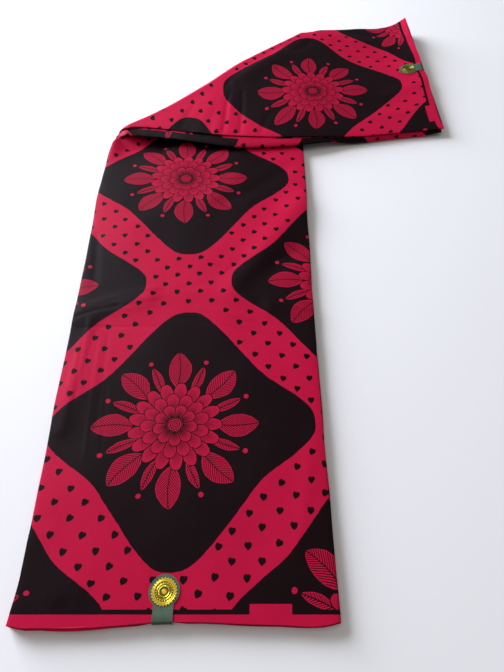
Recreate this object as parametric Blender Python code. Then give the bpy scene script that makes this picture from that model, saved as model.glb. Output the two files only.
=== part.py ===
"""A full-width length of printed cotton cloth, folded for sale and laid on a table.

The cloth is folded to and fro along its length into a strip as wide as one panel. The strip
lies flat, is turned over once along a diagonal, and runs on to the right. Its two selvedges
are the strip's near end and its right end. The layers that do not show share one thick body
with layered edges, in two stretches that meet halfway round the diagonal turn. The stretches
that show are thin walls over it. A paper label is folded over each selvedge.

Lengths are metres, +Z is up. While it is built, x runs from the strip's left edge and y from
its near selvedge; at the end everything is moved so that the origin is below the middle.
"""

import math

import bmesh
import bpy
import numpy as np

# Driving dimensions of the cloth and of its folding.
PANEL_WIDTH = 0.288
WALL = 0.0012
GAP = 0.0003
LAYERS_THICK = 0.0088

# The layered edges: rounds with a groove between them, which jut out unevenly.
ROUNDS = 3
ROUND_FLAT = (0.22, 0.78)
GROOVE = 0.0008
JUT_WAVES = (
    # radians per metre, height, shift from one round to the next
    (23.0, 0.0005, 2.1),
    (61.0, 0.0003, 4.3),
)
NEAR_JUT_START = 0.4
FAR_JUT_START = 0.9

# How far the upper surface sinks at the two long edges, and over what distance.
EDGE_DROP = 0.0006
EDGE_DROP_REACH = 0.004

# The diagonal turn: half the cloth that slides along inside it, the angles at which the right
# run's top panel starts and by which the two bodies stay apart, and how the runs draw up to it.
BEND_HALF = 0.012
PANEL_START_TURN = math.radians(36.0)
SPLIT_TURN = math.radians(1.0)
TURN_DRAW = 0.075
TURN_SETTLE = 0.030
SLIP_FADE = 0.010
SHARP_ANGLE = math.radians(40.0)

# Heights that follow from the layers and the wall.
NEAR_TOP = LAYERS_THICK + GAP + WALL
FAR_BASE = NEAR_TOP + GAP
BEND_CENTRE = (LAYERS_THICK + FAR_BASE) / 2
BEND_OUTER = BEND_CENTRE
BEND_INNER = BEND_OUTER - LAYERS_THICK

# Where the right run comes down off the near run to the table, and how it rises across itself.
REST_START = PANEL_WIDTH + 0.028
REST_END = PANEL_WIDTH + 0.085
ACROSS_RISE = 2.2

# Rows of points along the stretches; the near run's rows are shares of its length.
PANEL_GOES_IN = 0.985
NEAR_LAYER_ROWS = (0.0, 0.2, 0.4, 0.6, 0.8, 0.87, 0.91, 0.94, 0.965, PANEL_GOES_IN, 1.0)
NEAR_PANEL_ROWS = 44
FAR_ROWS = 28
FAR_ROW_BIAS = 0.1
TURN_ROWS = 6
PANEL_TURN_ROWS = 9
TIP_COLUMNS = (0.0, 0.0045, 0.013, 0.026, 0.044, 0.068, 0.094)
LABEL_COLUMNS = 7
UPPER_COLUMNS = 6

# Where the near run's folds fade out: as its top panel goes in under the right run.
COVERED_X = (0.028, 0.045)
COVERED_BELOW_EDGE = (-0.034, -0.020)
CALM_ROWS = (0.965, 1.0)

# The folds below the right run's lower edge: where they start, how far back they reach, how
# square their bulge is and how much it sags.
ROLL_START = 0.060
ROLL_BACK = 0.0038
ROLL_SQUARE = 0.8
ROLL_SAG = 0.16
ROLL_COLUMNS = 27
ROLL_ROUND = (0.02, 0.98, 11)

# The right end: where the cloth ends, how far its upper corner draws in, and the label's pinch.
RIGHT_END = 0.5040
CORNER_DRAW = 0.0150
CORNER_START = 0.120
TIP_REACH = 0.0045
TIP_SPREAD = 0.012
FAR_PINCH = 0.0035

# The labels: a green strip with a round head, folded over the selvedge.
LABEL_HALF = 0.0094
LABEL_HEAD = 0.0140
LABEL_TIP_HALF = 0.0022
LABEL_WALL = 0.0005
LABEL_REACH = 0.0250
NEAR_LABEL_ACROSS = 0.1345
FAR_LABEL_ACROSS = 0.1585
LABEL_FOOT = 0.0016
LABEL_LIFT = 0.0006
LABEL_PAST_EDGE = 0.0004
LABEL_CLEAR = 0.0008
LABEL_SHOULDER = 0.3
LABEL_TOP_ROWS = 15
LABEL_TOP_BIAS = 1.2
LABEL_DROP_ROWS = 4
PINCH_SPREAD = 0.014

# The foil seal on each label's head.
SEAL_RADIUS = 0.0126
SEAL_TEETH = 22
SEAL_TOOTH = 0.0009
SEAL_THICK = 0.0004
SEAL_RINGS = (
    # share of the radius, share of the thickness, has teeth
    (1.00, 0.0, True),
    (1.00, 0.6, True),
    (0.90, 1.0, False),
    (0.62, 1.0, False),
    (0.58, 0.7, False),
    (0.30, 0.7, False),
    (0.24, 1.1, False),
)

# The near selvedge's edge line: across the strip, and along it.
NEAR_EDGE = np.array([
    # across, along
    (0.0000, 0.0004),
    (0.0130, -0.0020),
    (0.0240, -0.0020),
    (0.0750, -0.0013),
    (0.1070, 0.0010),
    (0.1260, 0.0025),
    (0.1640, 0.0028),
    (0.2330, 0.0006),
    (0.2800, 0.0010),
    (0.2900, 0.0036),
])

# The diagonal turn's outer line: across the strip, and how far it lies right of 45 degrees.
TURN_LINE = np.array([
    # across, shift
    (0.000, 0.0035),
    (0.006, 0.0130),
    (0.020, 0.0195),
    (0.045, 0.0210),
    (0.120, 0.0060),
    (0.200, -0.0105),
    (0.240, -0.0070),
    (0.288, 0.0020),
])

# The right run's lower edge line.
LOWER_EDGE = np.array([
    # x, y
    (0.0000, 0.6360),
    (0.0100, 0.6530),
    (0.0245, 0.6630),
    (0.0400, 0.6645),
    (0.0605, 0.6620),
    (0.1315, 0.6525),
    (0.2105, 0.6465),
    (0.2845, 0.6465),
    (0.3315, 0.6515),
    (0.3815, 0.6575),
    (0.4395, 0.6675),
    (0.5085, 0.6775),
])

# The right run's upper surface at its lower and upper edges.
FAR_HEIGHTS = np.array([
    # x, lower, upper
    (0.000, 0.0209, 0.0209),
    (0.240, 0.0209, 0.0212),
    (0.290, 0.0200, 0.0215),
    (0.345, 0.0150, 0.0212),
    (0.400, 0.0122, 0.0172),
    (0.445, 0.0116, 0.0150),
    (0.472, 0.0116, 0.0205),
    (0.492, 0.0116, 0.0310),
    (0.507, 0.0116, 0.0370),
])

# How far the folds below the right run's lower edge stand out past it.
ROLL_REACH = np.array([
    # x, reach
    (0.030, 0.0030),
    (0.070, 0.0090),
    (0.130, 0.0150),
    (0.190, 0.0180),
    (0.250, 0.0150),
    (0.290, 0.0120),
    (0.330, 0.0075),
    (0.390, 0.0045),
    (0.470, 0.0040),
    (0.507, 0.0045),
])

# Soft folds in the two top panels: both ends, height and half width.
NEAR_FOLDS = np.array([
    # x_from, y_from, x_to, y_to, height, spread
    (0.000, 0.322, 0.085, 0.352, 0.0016, 0.010),
    (0.120, 0.366, 0.230, 0.340, 0.0010, 0.012),
    (0.235, 0.338, 0.290, 0.333, 0.0014, 0.007),
    (0.190, 0.432, 0.280, 0.560, 0.0028, 0.016),
    (0.014, 0.180, 0.022, 0.315, 0.0009, 0.006),
    (0.100, 0.590, 0.190, 0.610, 0.0012, 0.014),
])
FAR_FOLDS = np.array([
    # x_from, y_from, x_to, y_to, height, spread
    (0.150, 0.735, 0.130, 0.655, 0.0014, 0.008),
    (0.175, 0.735, 0.160, 0.652, 0.0011, 0.007),
    (0.200, 0.805, 0.262, 0.870, 0.0022, 0.014),
    (0.330, 0.930, 0.415, 0.915, 0.0014, 0.012),
    (0.430, 0.760, 0.500, 0.800, 0.0012, 0.010),
])

# The raised mouth where the near run's top panel starts up into the turn, at its left edge.
POUCH_HEIGHT = 0.0065
POUCH_X = 0.010
POUCH_Y = 0.622
POUCH_SPREAD_X = 0.026
POUCH_SPREAD_Y = 0.024

CRIMSON = (0.560, 0.013, 0.060)
DARK_CRIMSON = (0.300, 0.008, 0.030)
BLACK_PRINT = (0.016, 0.011, 0.015)
LABEL_GREEN = (0.098, 0.156, 0.107)
SEAL_GOLD = (0.680, 0.510, 0.040)

NORMAL_IN = np.array((1.0, -1.0)) / math.sqrt(2.0)
ALONG_TURN = np.array((1.0, 1.0)) / math.sqrt(2.0)


def clear_scene():
    """Remove every object that the file opened with."""
    for old in list(bpy.data.objects):
        bpy.data.objects.remove(old, do_unlink=True)


def through(at, knots, values):
    """A smooth curve through a table's values, held level past its ends."""
    at = np.asarray(at, dtype=float)
    slopes = np.gradient(values, knots)
    low = np.clip(np.searchsorted(knots, at) - 1, 0, len(knots) - 2)
    span = knots[low + 1] - knots[low]
    f = np.clip((at - knots[low]) / span, 0.0, 1.0)
    rise = (3 - 2 * f) * f ** 2
    lead = f * (1 - f) ** 2 * slopes[low]
    trail = f ** 2 * (f - 1) * slopes[low + 1]
    return values[low] * (1 - rise) + values[low + 1] * rise + (lead + trail) * span


def ease(start, end, at):
    """A smooth step from 0 at start to 1 at end."""
    f = np.clip((np.asarray(at, dtype=float) - start) / (end - start), 0.0, 1.0)
    return f * f * (3 - 2 * f)


def folds(table, x, y):
    """The height that a table of soft folds adds at a place."""
    total = np.zeros_like(x)
    for x_from, y_from, x_to, y_to, height, spread in table:
        run_x, run_y = x_to - x_from, y_to - y_from
        f = ((x - x_from) * run_x + (y - y_from) * run_y) / (run_x ** 2 + run_y ** 2)
        near = np.clip(f, 0.0, 1.0)
        away = (x - x_from - near * run_x) ** 2 + (y - y_from - near * run_y) ** 2
        total = total + height * np.exp(-away / (2 * spread ** 2))
    return total


def edge_drop(across):
    """How far the upper surface sinks at the strip's two long edges."""
    left = np.exp(-np.maximum(across, 0.0) / EDGE_DROP_REACH)
    right = np.exp(-np.maximum(PANEL_WIDTH - across, 0.0) / EDGE_DROP_REACH)
    return EDGE_DROP * (left + right)


def pouch(x, y):
    """The raised mouth at the turn's left end."""
    away_x = (x - POUCH_X) / POUCH_SPREAD_X
    away_y = (y - POUCH_Y) / POUCH_SPREAD_Y
    return POUCH_HEIGHT * np.exp(-(away_x ** 2 + away_y ** 2))


def near_edge(across):
    """Where the near selvedge lies along the strip."""
    return through(across, NEAR_EDGE[:, 0], NEAR_EDGE[:, 1])


def lower_edge(x):
    """Where the right run's lower edge lies."""
    return through(x, LOWER_EDGE[:, 0], LOWER_EDGE[:, 1])


def turn_line(across):
    """The outer line of the diagonal turn, as x and y."""
    x = across + through(across, TURN_LINE[:, 0], TURN_LINE[:, 1])
    return x, lower_edge(x) + across


def right_end(across):
    """Where the cloth ends on the right."""
    draw = CORNER_DRAW * ease(CORNER_START, PANEL_WIDTH, across)
    pinch = FAR_PINCH * np.exp(-((across - FAR_LABEL_ACROSS) / PINCH_SPREAD) ** 2)
    tip = TIP_REACH * np.exp(-np.maximum(across, 0.0) / TIP_SPREAD)
    return RIGHT_END - draw - pinch + tip


def far_height(across, x):
    """The upper surface of the right run's top panel, before its soft folds."""
    low = through(x, FAR_HEIGHTS[:, 0], FAR_HEIGHTS[:, 1])
    high = through(x, FAR_HEIGHTS[:, 0], FAR_HEIGHTS[:, 2])
    rise = (np.clip(across, 0.0, PANEL_WIDTH) / PANEL_WIDTH) ** ACROSS_RISE
    return low + (high - low) * rise - edge_drop(across)


def bend_point(across, turn, radius):
    """A point in the diagonal turn, whose angle runs from 0 below to pi above."""
    line_x, line_y = turn_line(across)
    slide = BEND_HALF * (2 * turn / math.pi - 1)
    inward = BEND_OUTER - radius * np.sin(turn)
    x = line_x + slide * ALONG_TURN[0] + inward * NORMAL_IN[0]
    y = line_y + slide * ALONG_TURN[1] + inward * NORMAL_IN[1]
    return x, y, BEND_CENTRE - radius * np.cos(turn)


def near_place(across, along):
    """Where a point of the near run lies. along is 0 at the selvedge and 1 at the turn."""
    end_x, end_y, _ = bend_point(across, np.zeros_like(across), BEND_OUTER)
    start_y = near_edge(across)
    y = start_y + (end_y - start_y) * along
    draw = ease(end_y - TURN_DRAW, end_y, y)
    return across + (end_x - across) * draw, y


def near_surface_lift(across, along):
    """How far folds, the pouch and the edges move the near run's upper surface."""
    x, y = near_place(across, along)
    covered = ease(*COVERED_X, x) * ease(*COVERED_BELOW_EDGE, y - lower_edge(x))
    calm = (1 - covered) * (1 - ease(*CALM_ROWS, along))
    return (folds(NEAR_FOLDS, x, y) + pouch(x, y)) * calm - edge_drop(across)


def far_place(across, along, level):
    """A point of the right run's layers past the turn, at level 0 below to 1 above."""
    top = np.full_like(across, math.pi)
    start_x, start_y, _ = bend_point(across, top, BEND_OUTER)
    end_x = right_end(across)
    x = start_x + (end_x - start_x) * along
    slip = start_y - lower_edge(start_x) - across
    y = lower_edge(x) + across + slip * np.exp(-(x - start_x) / SLIP_FADE)
    near_turn = 1 - ease(0.0, TURN_SETTLE, x - start_x)
    low = far_base(x) * (1 - near_turn) + (BEND_CENTRE + BEND_INNER) * near_turn
    high = far_layers_top(across, x) * (1 - near_turn) + (BEND_CENTRE + BEND_OUTER) * near_turn
    return x, y, low + (high - low) * level


def far_base(x):
    """The underside of the right run: on the near run, then down to the table."""
    return FAR_BASE * (1 - ease(REST_START, REST_END, x))


def far_layers_top(across, x):
    """The upper side of the right run's hidden layers."""
    return far_height(across, x) - WALL - GAP


def layer_levels():
    """Heights from 0 to 1 at which the layered edges have a point."""
    steps = (0.0, *ROUND_FLAT)
    levels = [(number + step) / ROUNDS for number in range(ROUNDS) for step in steps]
    return np.array(levels + [1.0])


def layered(level, place):
    """How far an edge of layers stands out at a height, uneven along its length."""
    groove = np.isclose(level * ROUNDS, np.round(level * ROUNDS))
    number = np.floor(level * ROUNDS + 0.01)
    out = -GROOVE * groove
    for rate, height, shift in JUT_WAVES:
        out = out + height * np.sin(place * rate + number * shift)
    return np.where(level < 1.0, out, 0.0)


def end_layers(level, across, label_across, start):
    """How far the layers stand out at a selvedge; they draw in below the label."""
    clear = 1 - np.exp(-((across - label_across) / PINCH_SPREAD) ** 4)
    return layered(level, across + start) * clear - GROOVE * (1 - clear) * (level < 1.0)


def grid_solid(name, columns, rows, levels, place, colour, roughness, metallic=0.0):
    """A closed body from the outside of a grid in three directions.

    place turns arrays of column, row and level into x, y and z.
    """
    size = (len(columns), len(rows), len(levels))
    u, v, w = np.meshgrid(columns, rows, levels, indexing="ij")
    points = np.stack(place(u, v, w), axis=-1).reshape(-1, 3)
    number = np.arange(size[0] * size[1] * size[2]).reshape(size)
    sides = (number[:, :, 0], number[:, :, -1], number[0], number[-1], number[:, 0], number[:, -1])
    faces = []
    for side in sides:
        a, b = side[:-1, :-1].ravel(), side[1:, :-1].ravel()
        c, d = side[1:, 1:].ravel(), side[:-1, 1:].ravel()
        faces.extend(np.stack((a, b, c), axis=-1).tolist())
        faces.extend(np.stack((a, c, d), axis=-1).tolist())
    used = sorted({corner for face in faces for corner in face})
    renumber = {old: new for new, old in enumerate(used)}
    faces = [[renumber[corner] for corner in face] for face in faces]
    return add_object(name, points[used], faces, colour, roughness, metallic)


def add_object(name, points, faces, colour, roughness, metallic):
    """A named object with its own finish, its faces pointing out."""
    mesh = bpy.data.meshes.new(name)
    mesh.from_pydata([tuple(p) for p in np.asarray(points, dtype=float)], [], faces)
    work = bmesh.new()
    work.from_mesh(mesh)
    bmesh.ops.recalc_face_normals(work, faces=work.faces)
    bmesh.ops.triangulate(work, faces=work.faces)
    work.to_mesh(mesh)
    work.free()
    mesh.shade_smooth()
    mesh.set_sharp_from_angle(angle=SHARP_ANGLE)
    finish = bpy.data.materials.new(name)
    finish.use_nodes = True
    shader = finish.node_tree.nodes["Principled BSDF"]
    shader.inputs["Base Color"].default_value = (*colour, 1.0)
    shader.inputs["Roughness"].default_value = roughness
    shader.inputs["Metallic"].default_value = metallic
    mesh.materials.append(finish)
    made = bpy.data.objects.new(name, mesh)
    bpy.context.collection.objects.link(made)
    return made


def steps_to_one(count, bias=0.0):
    """Even steps from 0 to 1, drawn towards both ends by bias."""
    f = np.linspace(0.0, 1.0, count)
    return f - bias * np.sin(2 * math.pi * f) / (2 * math.pi)


def shared_columns():
    """Places across the strip that every stretch shares, closer where a label or the tip is."""
    low = NEAR_LABEL_ACROSS - 1.4 * PINCH_SPREAD
    high = FAR_LABEL_ACROSS + 1.5 * PINCH_SPREAD
    labels = np.linspace(low, high, LABEL_COLUMNS)
    upper = np.linspace(high, PANEL_WIDTH, UPPER_COLUMNS)[1:]
    return np.concatenate((TIP_COLUMNS, labels, upper))


def choose(test, chosen, other):
    """Three arrays, each from the first set where the test holds and else from the second."""
    return [np.where(test, a, b) for a, b in zip(chosen, other)]


def near_layers():
    """The hidden layers of the near run and of the turn's lower half."""
    turn_rows = np.linspace(1.0, 2.0, TURN_ROWS)[1:]

    def place(across, row, level):
        x, y = near_place(across, np.clip(row, 0.0, 1.0))
        z = (LAYERS_THICK - edge_drop(across) * (row < 1.0)) * level
        turn = np.clip(row - 1.0, 0.0, 1.0) * (math.pi / 2 - SPLIT_TURN)
        bend = bend_point(across, turn, BEND_OUTER - LAYERS_THICK * level)
        x, y, z = choose(row > 1.0, bend, (x, y, z))
        out = layered(level, y) * (1 - ease(*CALM_ROWS, row))
        x = x + out * (np.isclose(across, PANEL_WIDTH).astype(float) - np.isclose(across, 0.0))
        y = y - end_layers(level, across, NEAR_LABEL_ACROSS, NEAR_JUT_START) * (row == 0.0)
        return x, y, z

    rows = np.concatenate((NEAR_LAYER_ROWS, turn_rows))
    return grid_solid("near_layers", shared_columns(), rows, layer_levels(), place, DARK_CRIMSON, 0.8)


def near_panel():
    """The near run's top panel, from its selvedge to where it goes in under the right run."""

    def place(across, along, level):
        x, y = near_place(across, along)
        below = LAYERS_THICK + GAP + near_surface_lift(across, along)
        return x, y, below + WALL * level

    rows = steps_to_one(NEAR_PANEL_ROWS) * PANEL_GOES_IN
    return grid_solid("near_panel", shared_columns(), rows, [0.0, 1.0], place, CRIMSON, 0.65)


def far_layers():
    """The hidden layers of the right run and of the turn's upper half."""
    turn_rows = np.linspace(-1.0, 0.0, TURN_ROWS)[:-1]

    def place(across, row, level):
        turn = math.pi - np.clip(-row, 0.0, 1.0) * (math.pi / 2 - SPLIT_TURN)
        bend = bend_point(across, turn, BEND_INNER + LAYERS_THICK * level)
        x, y, z = choose(row < 0.0, bend, far_place(across, np.clip(row, 0.0, 1.0), level))
        y = y + layered(level, x) * ease(0.02, 0.06, row) * np.isclose(across, PANEL_WIDTH)
        x = x + end_layers(level, across, FAR_LABEL_ACROSS, FAR_JUT_START) * np.isclose(row, 1.0)
        return x, y, z

    columns = shared_columns()[1:]
    rows = np.concatenate((turn_rows, steps_to_one(FAR_ROWS, FAR_ROW_BIAS)))
    return grid_solid("far_layers", columns, rows, layer_levels(), place, DARK_CRIMSON, 0.8)


def far_panel_top(across, x, y):
    """The upper surface of the right run's top panel with its soft folds."""
    return far_height(across, x) + folds(FAR_FOLDS, x, y)


def far_panel():
    """The right run's top panel, which comes up round the outside of the turn."""
    turn_rows = np.linspace(PANEL_START_TURN / math.pi, 1.0, PANEL_TURN_ROWS)[:-1] - 1.0

    def place(across, row, level):
        x, y, z = far_place(across, np.clip(row, 0.0, 1.0), 1.0)
        start_x, _, _ = bend_point(across, np.full_like(across, math.pi), BEND_OUTER)
        lift = folds(FAR_FOLDS, x, y) * ease(0.0, TURN_SETTLE, x - start_x)
        turn = math.pi * (1.0 + np.clip(row, -1.0, 0.0))
        bend = bend_point(across, turn, BEND_OUTER + GAP + WALL * level)
        return choose(row < 0.0, bend, (x, y, z + GAP + lift + WALL * level))

    rows = np.concatenate((turn_rows, steps_to_one(FAR_ROWS, FAR_ROW_BIAS)))
    return grid_solid("far_panel", shared_columns(), rows, [0.0, 1.0], place, CRIMSON, 0.65)


def lower_edge_folds():
    """The folded edges of the next panels, standing out below the right run's lower edge."""

    def place(x, around, depth):
        high = far_layers_top(np.zeros_like(x), x) - GAP
        low = far_base(x) + GAP
        reach = through(x, ROLL_REACH[:, 0], ROLL_REACH[:, 1]) + ROLL_BACK
        angle = math.pi * around
        sag = ROLL_SAG * np.sin(angle) ** 2
        z = (high + low) / 2 + (high - low) / 2 * (np.cos(angle) - sag)
        y = lower_edge(x) + ROLL_BACK - reach * np.sin(angle) ** ROLL_SQUARE * depth
        return x, y, z

    xs = ROLL_START + steps_to_one(ROLL_COLUMNS) * (RIGHT_END - ROLL_START - GAP)
    around = np.linspace(*ROLL_ROUND)
    return grid_solid("lower_edge_folds", xs, around, [0.0, 1.0], place, BLACK_PRINT, 0.65)


def head_half_width(reach):
    """Half the label's width at a distance from the selvedge: a strip that ends in a disc."""
    in_disc = np.sqrt(np.maximum(LABEL_HEAD ** 2 - (reach - LABEL_REACH) ** 2, 0.0))
    joined = np.where(reach < LABEL_REACH, np.maximum(in_disc, LABEL_HALF), in_disc)
    return np.maximum(joined, LABEL_TIP_HALF)


def label(name, centre, surface, edge, outward):
    """A paper label folded over a selvedge and down its layered edge.

    surface gives the height of the panel, edge the selvedge's place and outward the way
    out of the cloth: -1 at the near end, where labels run along y, and 1 at the right end.
    """
    tip = LABEL_REACH + LABEL_HEAD
    shares = 1 - np.linspace(0.0, 1.0, LABEL_TOP_ROWS) ** LABEL_TOP_BIAS
    tops = np.append(tip * shares, -LABEL_PAST_EDGE)
    last = len(tops) - 1
    rows = np.arange(len(tops) + LABEL_DROP_ROWS, dtype=float)

    def place(side, row, level):
        number = np.round(row).astype(int)
        reach = tops[np.minimum(number, last)]
        drop = np.clip(number - last, 0, LABEL_DROP_ROWS) / LABEL_DROP_ROWS
        across = centre + side * head_half_width(reach)
        inner = edge(across) - outward * np.maximum(reach, 0.0)
        high = surface(across, inner) + LABEL_LIFT
        bulge = LABEL_WALL * level
        falling = drop > 0.0
        z = np.where(falling, high + (LABEL_FOOT - high) * drop, high + bulge)
        clear = np.where(reach < 0.0, LABEL_CLEAR + bulge, 0.0)
        shoulder = np.where((reach < 0.0) & ~falling, -bulge * LABEL_SHOULDER, 0.0)
        along = inner + outward * (clear + shoulder)
        if outward < 0:
            return across, along, z
        return along, lower_edge(along) + across, z

    return grid_solid(name, np.linspace(-1.0, 1.0, 5), rows, [0.0, 1.0], place, LABEL_GREEN, 0.6)


def seal(name, centre_x, centre_y, surface):
    """A round foil seal with saw teeth round its rim and raised rings."""
    around = 2 * SEAL_TEETH
    angles = 2 * math.pi * np.arange(around) / around
    tooth = np.where(np.arange(around) % 2 == 0, 0.0, SEAL_TOOTH)
    lift = LABEL_LIFT + LABEL_WALL + GAP
    points = []
    for share, height, toothed in SEAL_RINGS:
        radius = SEAL_RADIUS * share - (tooth if toothed else 0.0)
        x, y = centre_x + radius * np.cos(angles), centre_y + radius * np.sin(angles)
        points.append(np.stack((x, y, surface(x, y) + lift + SEAL_THICK * height), axis=-1))
    points = np.concatenate(points)
    faces = [list(range(around))[::-1]]
    for ring in range(len(SEAL_RINGS) - 1):
        for step in range(around):
            after = (step + 1) % around
            low, high = ring * around, (ring + 1) * around
            faces.append([low + step, low + after, high + after, high + step])
    faces.append([(len(SEAL_RINGS) - 1) * around + step for step in range(around)])
    return add_object(name, points, faces, SEAL_GOLD, 0.35, 0.9)


def near_label_height(across, y):
    """The near panel's upper surface at the label, where the strip runs straight."""
    return NEAR_TOP + folds(NEAR_FOLDS, across, y) - edge_drop(across)


def far_label_height(across, x):
    """The right run's upper surface at the label."""
    return far_panel_top(across, x, lower_edge(x) + across)


def far_seal_height(x, y):
    """The right run's upper surface below the seal."""
    return far_label_height(y - lower_edge(x), x)


def stand_on_origin(made):
    """Move every mesh so that the origin is below the middle of the whole object."""
    corners = np.array([tuple(v.co) for piece in made for v in piece.data.vertices])
    low, high = corners.min(axis=0), corners.max(axis=0)
    shift = (-(low[0] + high[0]) / 2, -(low[1] + high[1]) / 2, -low[2])
    for piece in made:
        coords = np.array([tuple(v.co) for v in piece.data.vertices]) + shift
        piece.data.vertices.foreach_set("co", coords.ravel())
        piece.data.update()


def main():
    """Build every stretch of the cloth and its labels."""
    clear_scene()
    far_label_x = float(right_end(np.array(FAR_LABEL_ACROSS))) - LABEL_REACH
    far_label_y = float(lower_edge(far_label_x)) + FAR_LABEL_ACROSS
    near_label_y = float(near_edge(np.array(NEAR_LABEL_ACROSS))) + LABEL_REACH
    made = [
        near_layers(),
        near_panel(),
        far_layers(),
        far_panel(),
        lower_edge_folds(),
        label("near_label", NEAR_LABEL_ACROSS, near_label_height, near_edge, -1),
        label("far_label", FAR_LABEL_ACROSS, far_label_height, right_end, 1),
        seal("near_seal", NEAR_LABEL_ACROSS, near_label_y, near_label_height),
        seal("far_seal", far_label_x, far_label_y, far_seal_height),
    ]
    stand_on_origin(made)


main()
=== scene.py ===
"""The looks of a folded length of wax print cotton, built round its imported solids.

The cloth lies as a flat strip of folded layers that is turned over once along a diagonal.
Each stretch that shows is a thin shell on its solid's form, and the hidden layers are solid
blocks whose edges show every fold. One print, worked out by rule from the cloth's own
coordinates, runs over all of them. Lengths are metres, and +Z is up.
"""

import logging
import math
from collections.abc import Callable, Mapping
from dataclasses import dataclass, field
from enum import Enum

import bpy
import numpy as np
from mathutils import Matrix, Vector


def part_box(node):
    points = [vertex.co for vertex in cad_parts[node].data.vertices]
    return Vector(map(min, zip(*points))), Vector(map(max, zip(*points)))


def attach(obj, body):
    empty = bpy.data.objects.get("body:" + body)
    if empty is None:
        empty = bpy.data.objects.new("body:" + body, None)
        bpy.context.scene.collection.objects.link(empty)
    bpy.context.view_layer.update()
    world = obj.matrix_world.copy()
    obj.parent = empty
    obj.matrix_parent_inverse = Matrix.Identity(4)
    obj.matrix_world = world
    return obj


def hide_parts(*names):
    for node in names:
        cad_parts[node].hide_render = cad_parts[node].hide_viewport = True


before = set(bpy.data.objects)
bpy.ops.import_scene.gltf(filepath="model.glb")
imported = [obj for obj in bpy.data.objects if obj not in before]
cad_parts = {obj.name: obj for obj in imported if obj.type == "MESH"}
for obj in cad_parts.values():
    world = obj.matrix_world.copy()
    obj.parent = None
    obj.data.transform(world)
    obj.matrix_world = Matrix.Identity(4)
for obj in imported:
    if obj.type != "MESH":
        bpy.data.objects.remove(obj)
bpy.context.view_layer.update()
LOG = logging.getLogger("wax print")
BODY = "root"
CLOTH_MAP = "cloth"
BAKE_MAP = "OFBake"
EMBOSS = "emboss"
MM = 0.001
NEARLY = 1e-6
FLOOR_CORNERS = ((-1, -1), (1, -1), (1, 1), (-1, 1))
TAU = 2.0 * math.pi
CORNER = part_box("near_panel")[0]

Socket = bpy.types.NodeSocket
Tree = bpy.types.NodeTree
Material = bpy.types.Material
Value = float | str | tuple[float, ...] | Socket
Places = np.ndarray
Three = tuple[Places, Places, Places]
Span = tuple[float, float]


class Slot(Enum):
    """The record's material slots."""

    PRINT = "printed_cotton"
    LAYERS = "layered_cotton"
    PAPER = "label_paper"
    FOIL = "seal_foil"


class End(Enum):
    """The strip's two ends, each with the axis and the direction that it faces."""

    NEAR = (1, -1)
    RIGHT = (0, 1)


def linear(code: str) -> tuple[float, float, float, float]:
    """Turn an sRGB hex colour into linear red, green, blue and alpha.

    Args:
        code: Six hex digits, such as "c81e46".

    Returns:
        The linear colour, opaque.
    """
    shares = [int(code[at:at + 2], 16) / 255.0 for at in (0, 2, 4)]
    red, green, blue = (s / 12.92 if s <= 0.04045 else ((s + 0.055) / 1.055) ** 2.4 for s in shares)
    return red, green, blue, 1.0


def ease(start: float | Places, end: float | Places, at: Places) -> Places:
    """A smooth step: 0 up to start, 1 from end, and 3f^2 - 2f^3 between them.

    Args:
        start: Where the step begins.
        end: Where it is complete.
        at: Places to work it out for.

    Returns:
        A share from 0 to 1 for each place.
    """
    f = np.clip((at - start) / (end - start), 0.0, 1.0)
    return f * f * (3.0 - 2.0 * f)


def bell(off: Places, spread: float, power: int = 2) -> Places:
    """1 in the middle, and exp(-(off / spread)^power) away from it."""
    return np.exp(-(off / spread) ** power)


def fade(past: Places, reach: float) -> Places:
    """1 up to 0, and exp(-past / reach) beyond it."""
    return np.exp(-np.maximum(past, 0.0) / reach)


def waves(rows: tuple[tuple[float, float, float, float], ...], a: Places, b: Places) -> Places:
    """The sum of share sin(p a + q b + phase) over rows of p, q, phase and share."""
    return sum(share * np.sin(p * a + q * b + phase) for p, q, phase, share in rows)


@dataclass(frozen=True)
class Curve:
    """A smooth curve through a short table of rows (place, value) in mm, level past its ends."""

    rows: tuple[tuple[float, float], ...]

    def at(self, place: Places | float) -> Places:
        """Cubic between two rows, with each row's slope taken from its neighbours.

        Args:
            place: Places along the table's first column.

        Returns:
            The curve's value at each place.
        """
        knots, values = np.array(self.rows).T * MM
        place = np.asarray(place, dtype=float)
        slopes = np.gradient(values, knots)
        low = np.clip(np.searchsorted(knots, place) - 1, 0, len(knots) - 2)
        span = knots[low + 1] - knots[low]
        f = np.clip((place - knots[low]) / span, 0.0, 1.0)
        rise = (3.0 - 2.0 * f) * f ** 2
        bend = f * (1.0 - f) ** 2 * slopes[low] + f ** 2 * (f - 1.0) * slopes[low + 1]
        return values[low] * (1.0 - rise) + values[low + 1] * rise + bend * span


@dataclass(frozen=True)
class Crease:
    """A soft ridge, or a trough if its height is below 0, along a line on the cloth, in mm."""

    start_x: float
    start_y: float
    end_x: float
    end_y: float
    height: float
    spread: float
    bow: float = 0.0

    def lift(self, x: Places, y: Places) -> Places:
        """Height times exp(-d^2 / 2 spread^2), d being the distance to the bowed line.

        Args:
            x: Places along x on the strip.
            y: Places along y on the strip.

        Returns:
            How far the surface is raised at each place.
        """
        off_x, off_y = x / MM - self.start_x, y / MM - self.start_y
        run_x, run_y = self.end_x - self.start_x, self.end_y - self.start_y
        length = math.hypot(run_x, run_y)
        f = (off_x * run_x + off_y * run_y) / length ** 2
        near = np.clip(f, 0.0, 1.0)
        aside = (off_y * run_x - off_x * run_y) / length - self.bow * 4.0 * near * (1.0 - near)
        past = (f - near) * length
        return self.height * MM * np.exp(-(aside ** 2 + past ** 2) / (2.0 * self.spread ** 2))


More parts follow.
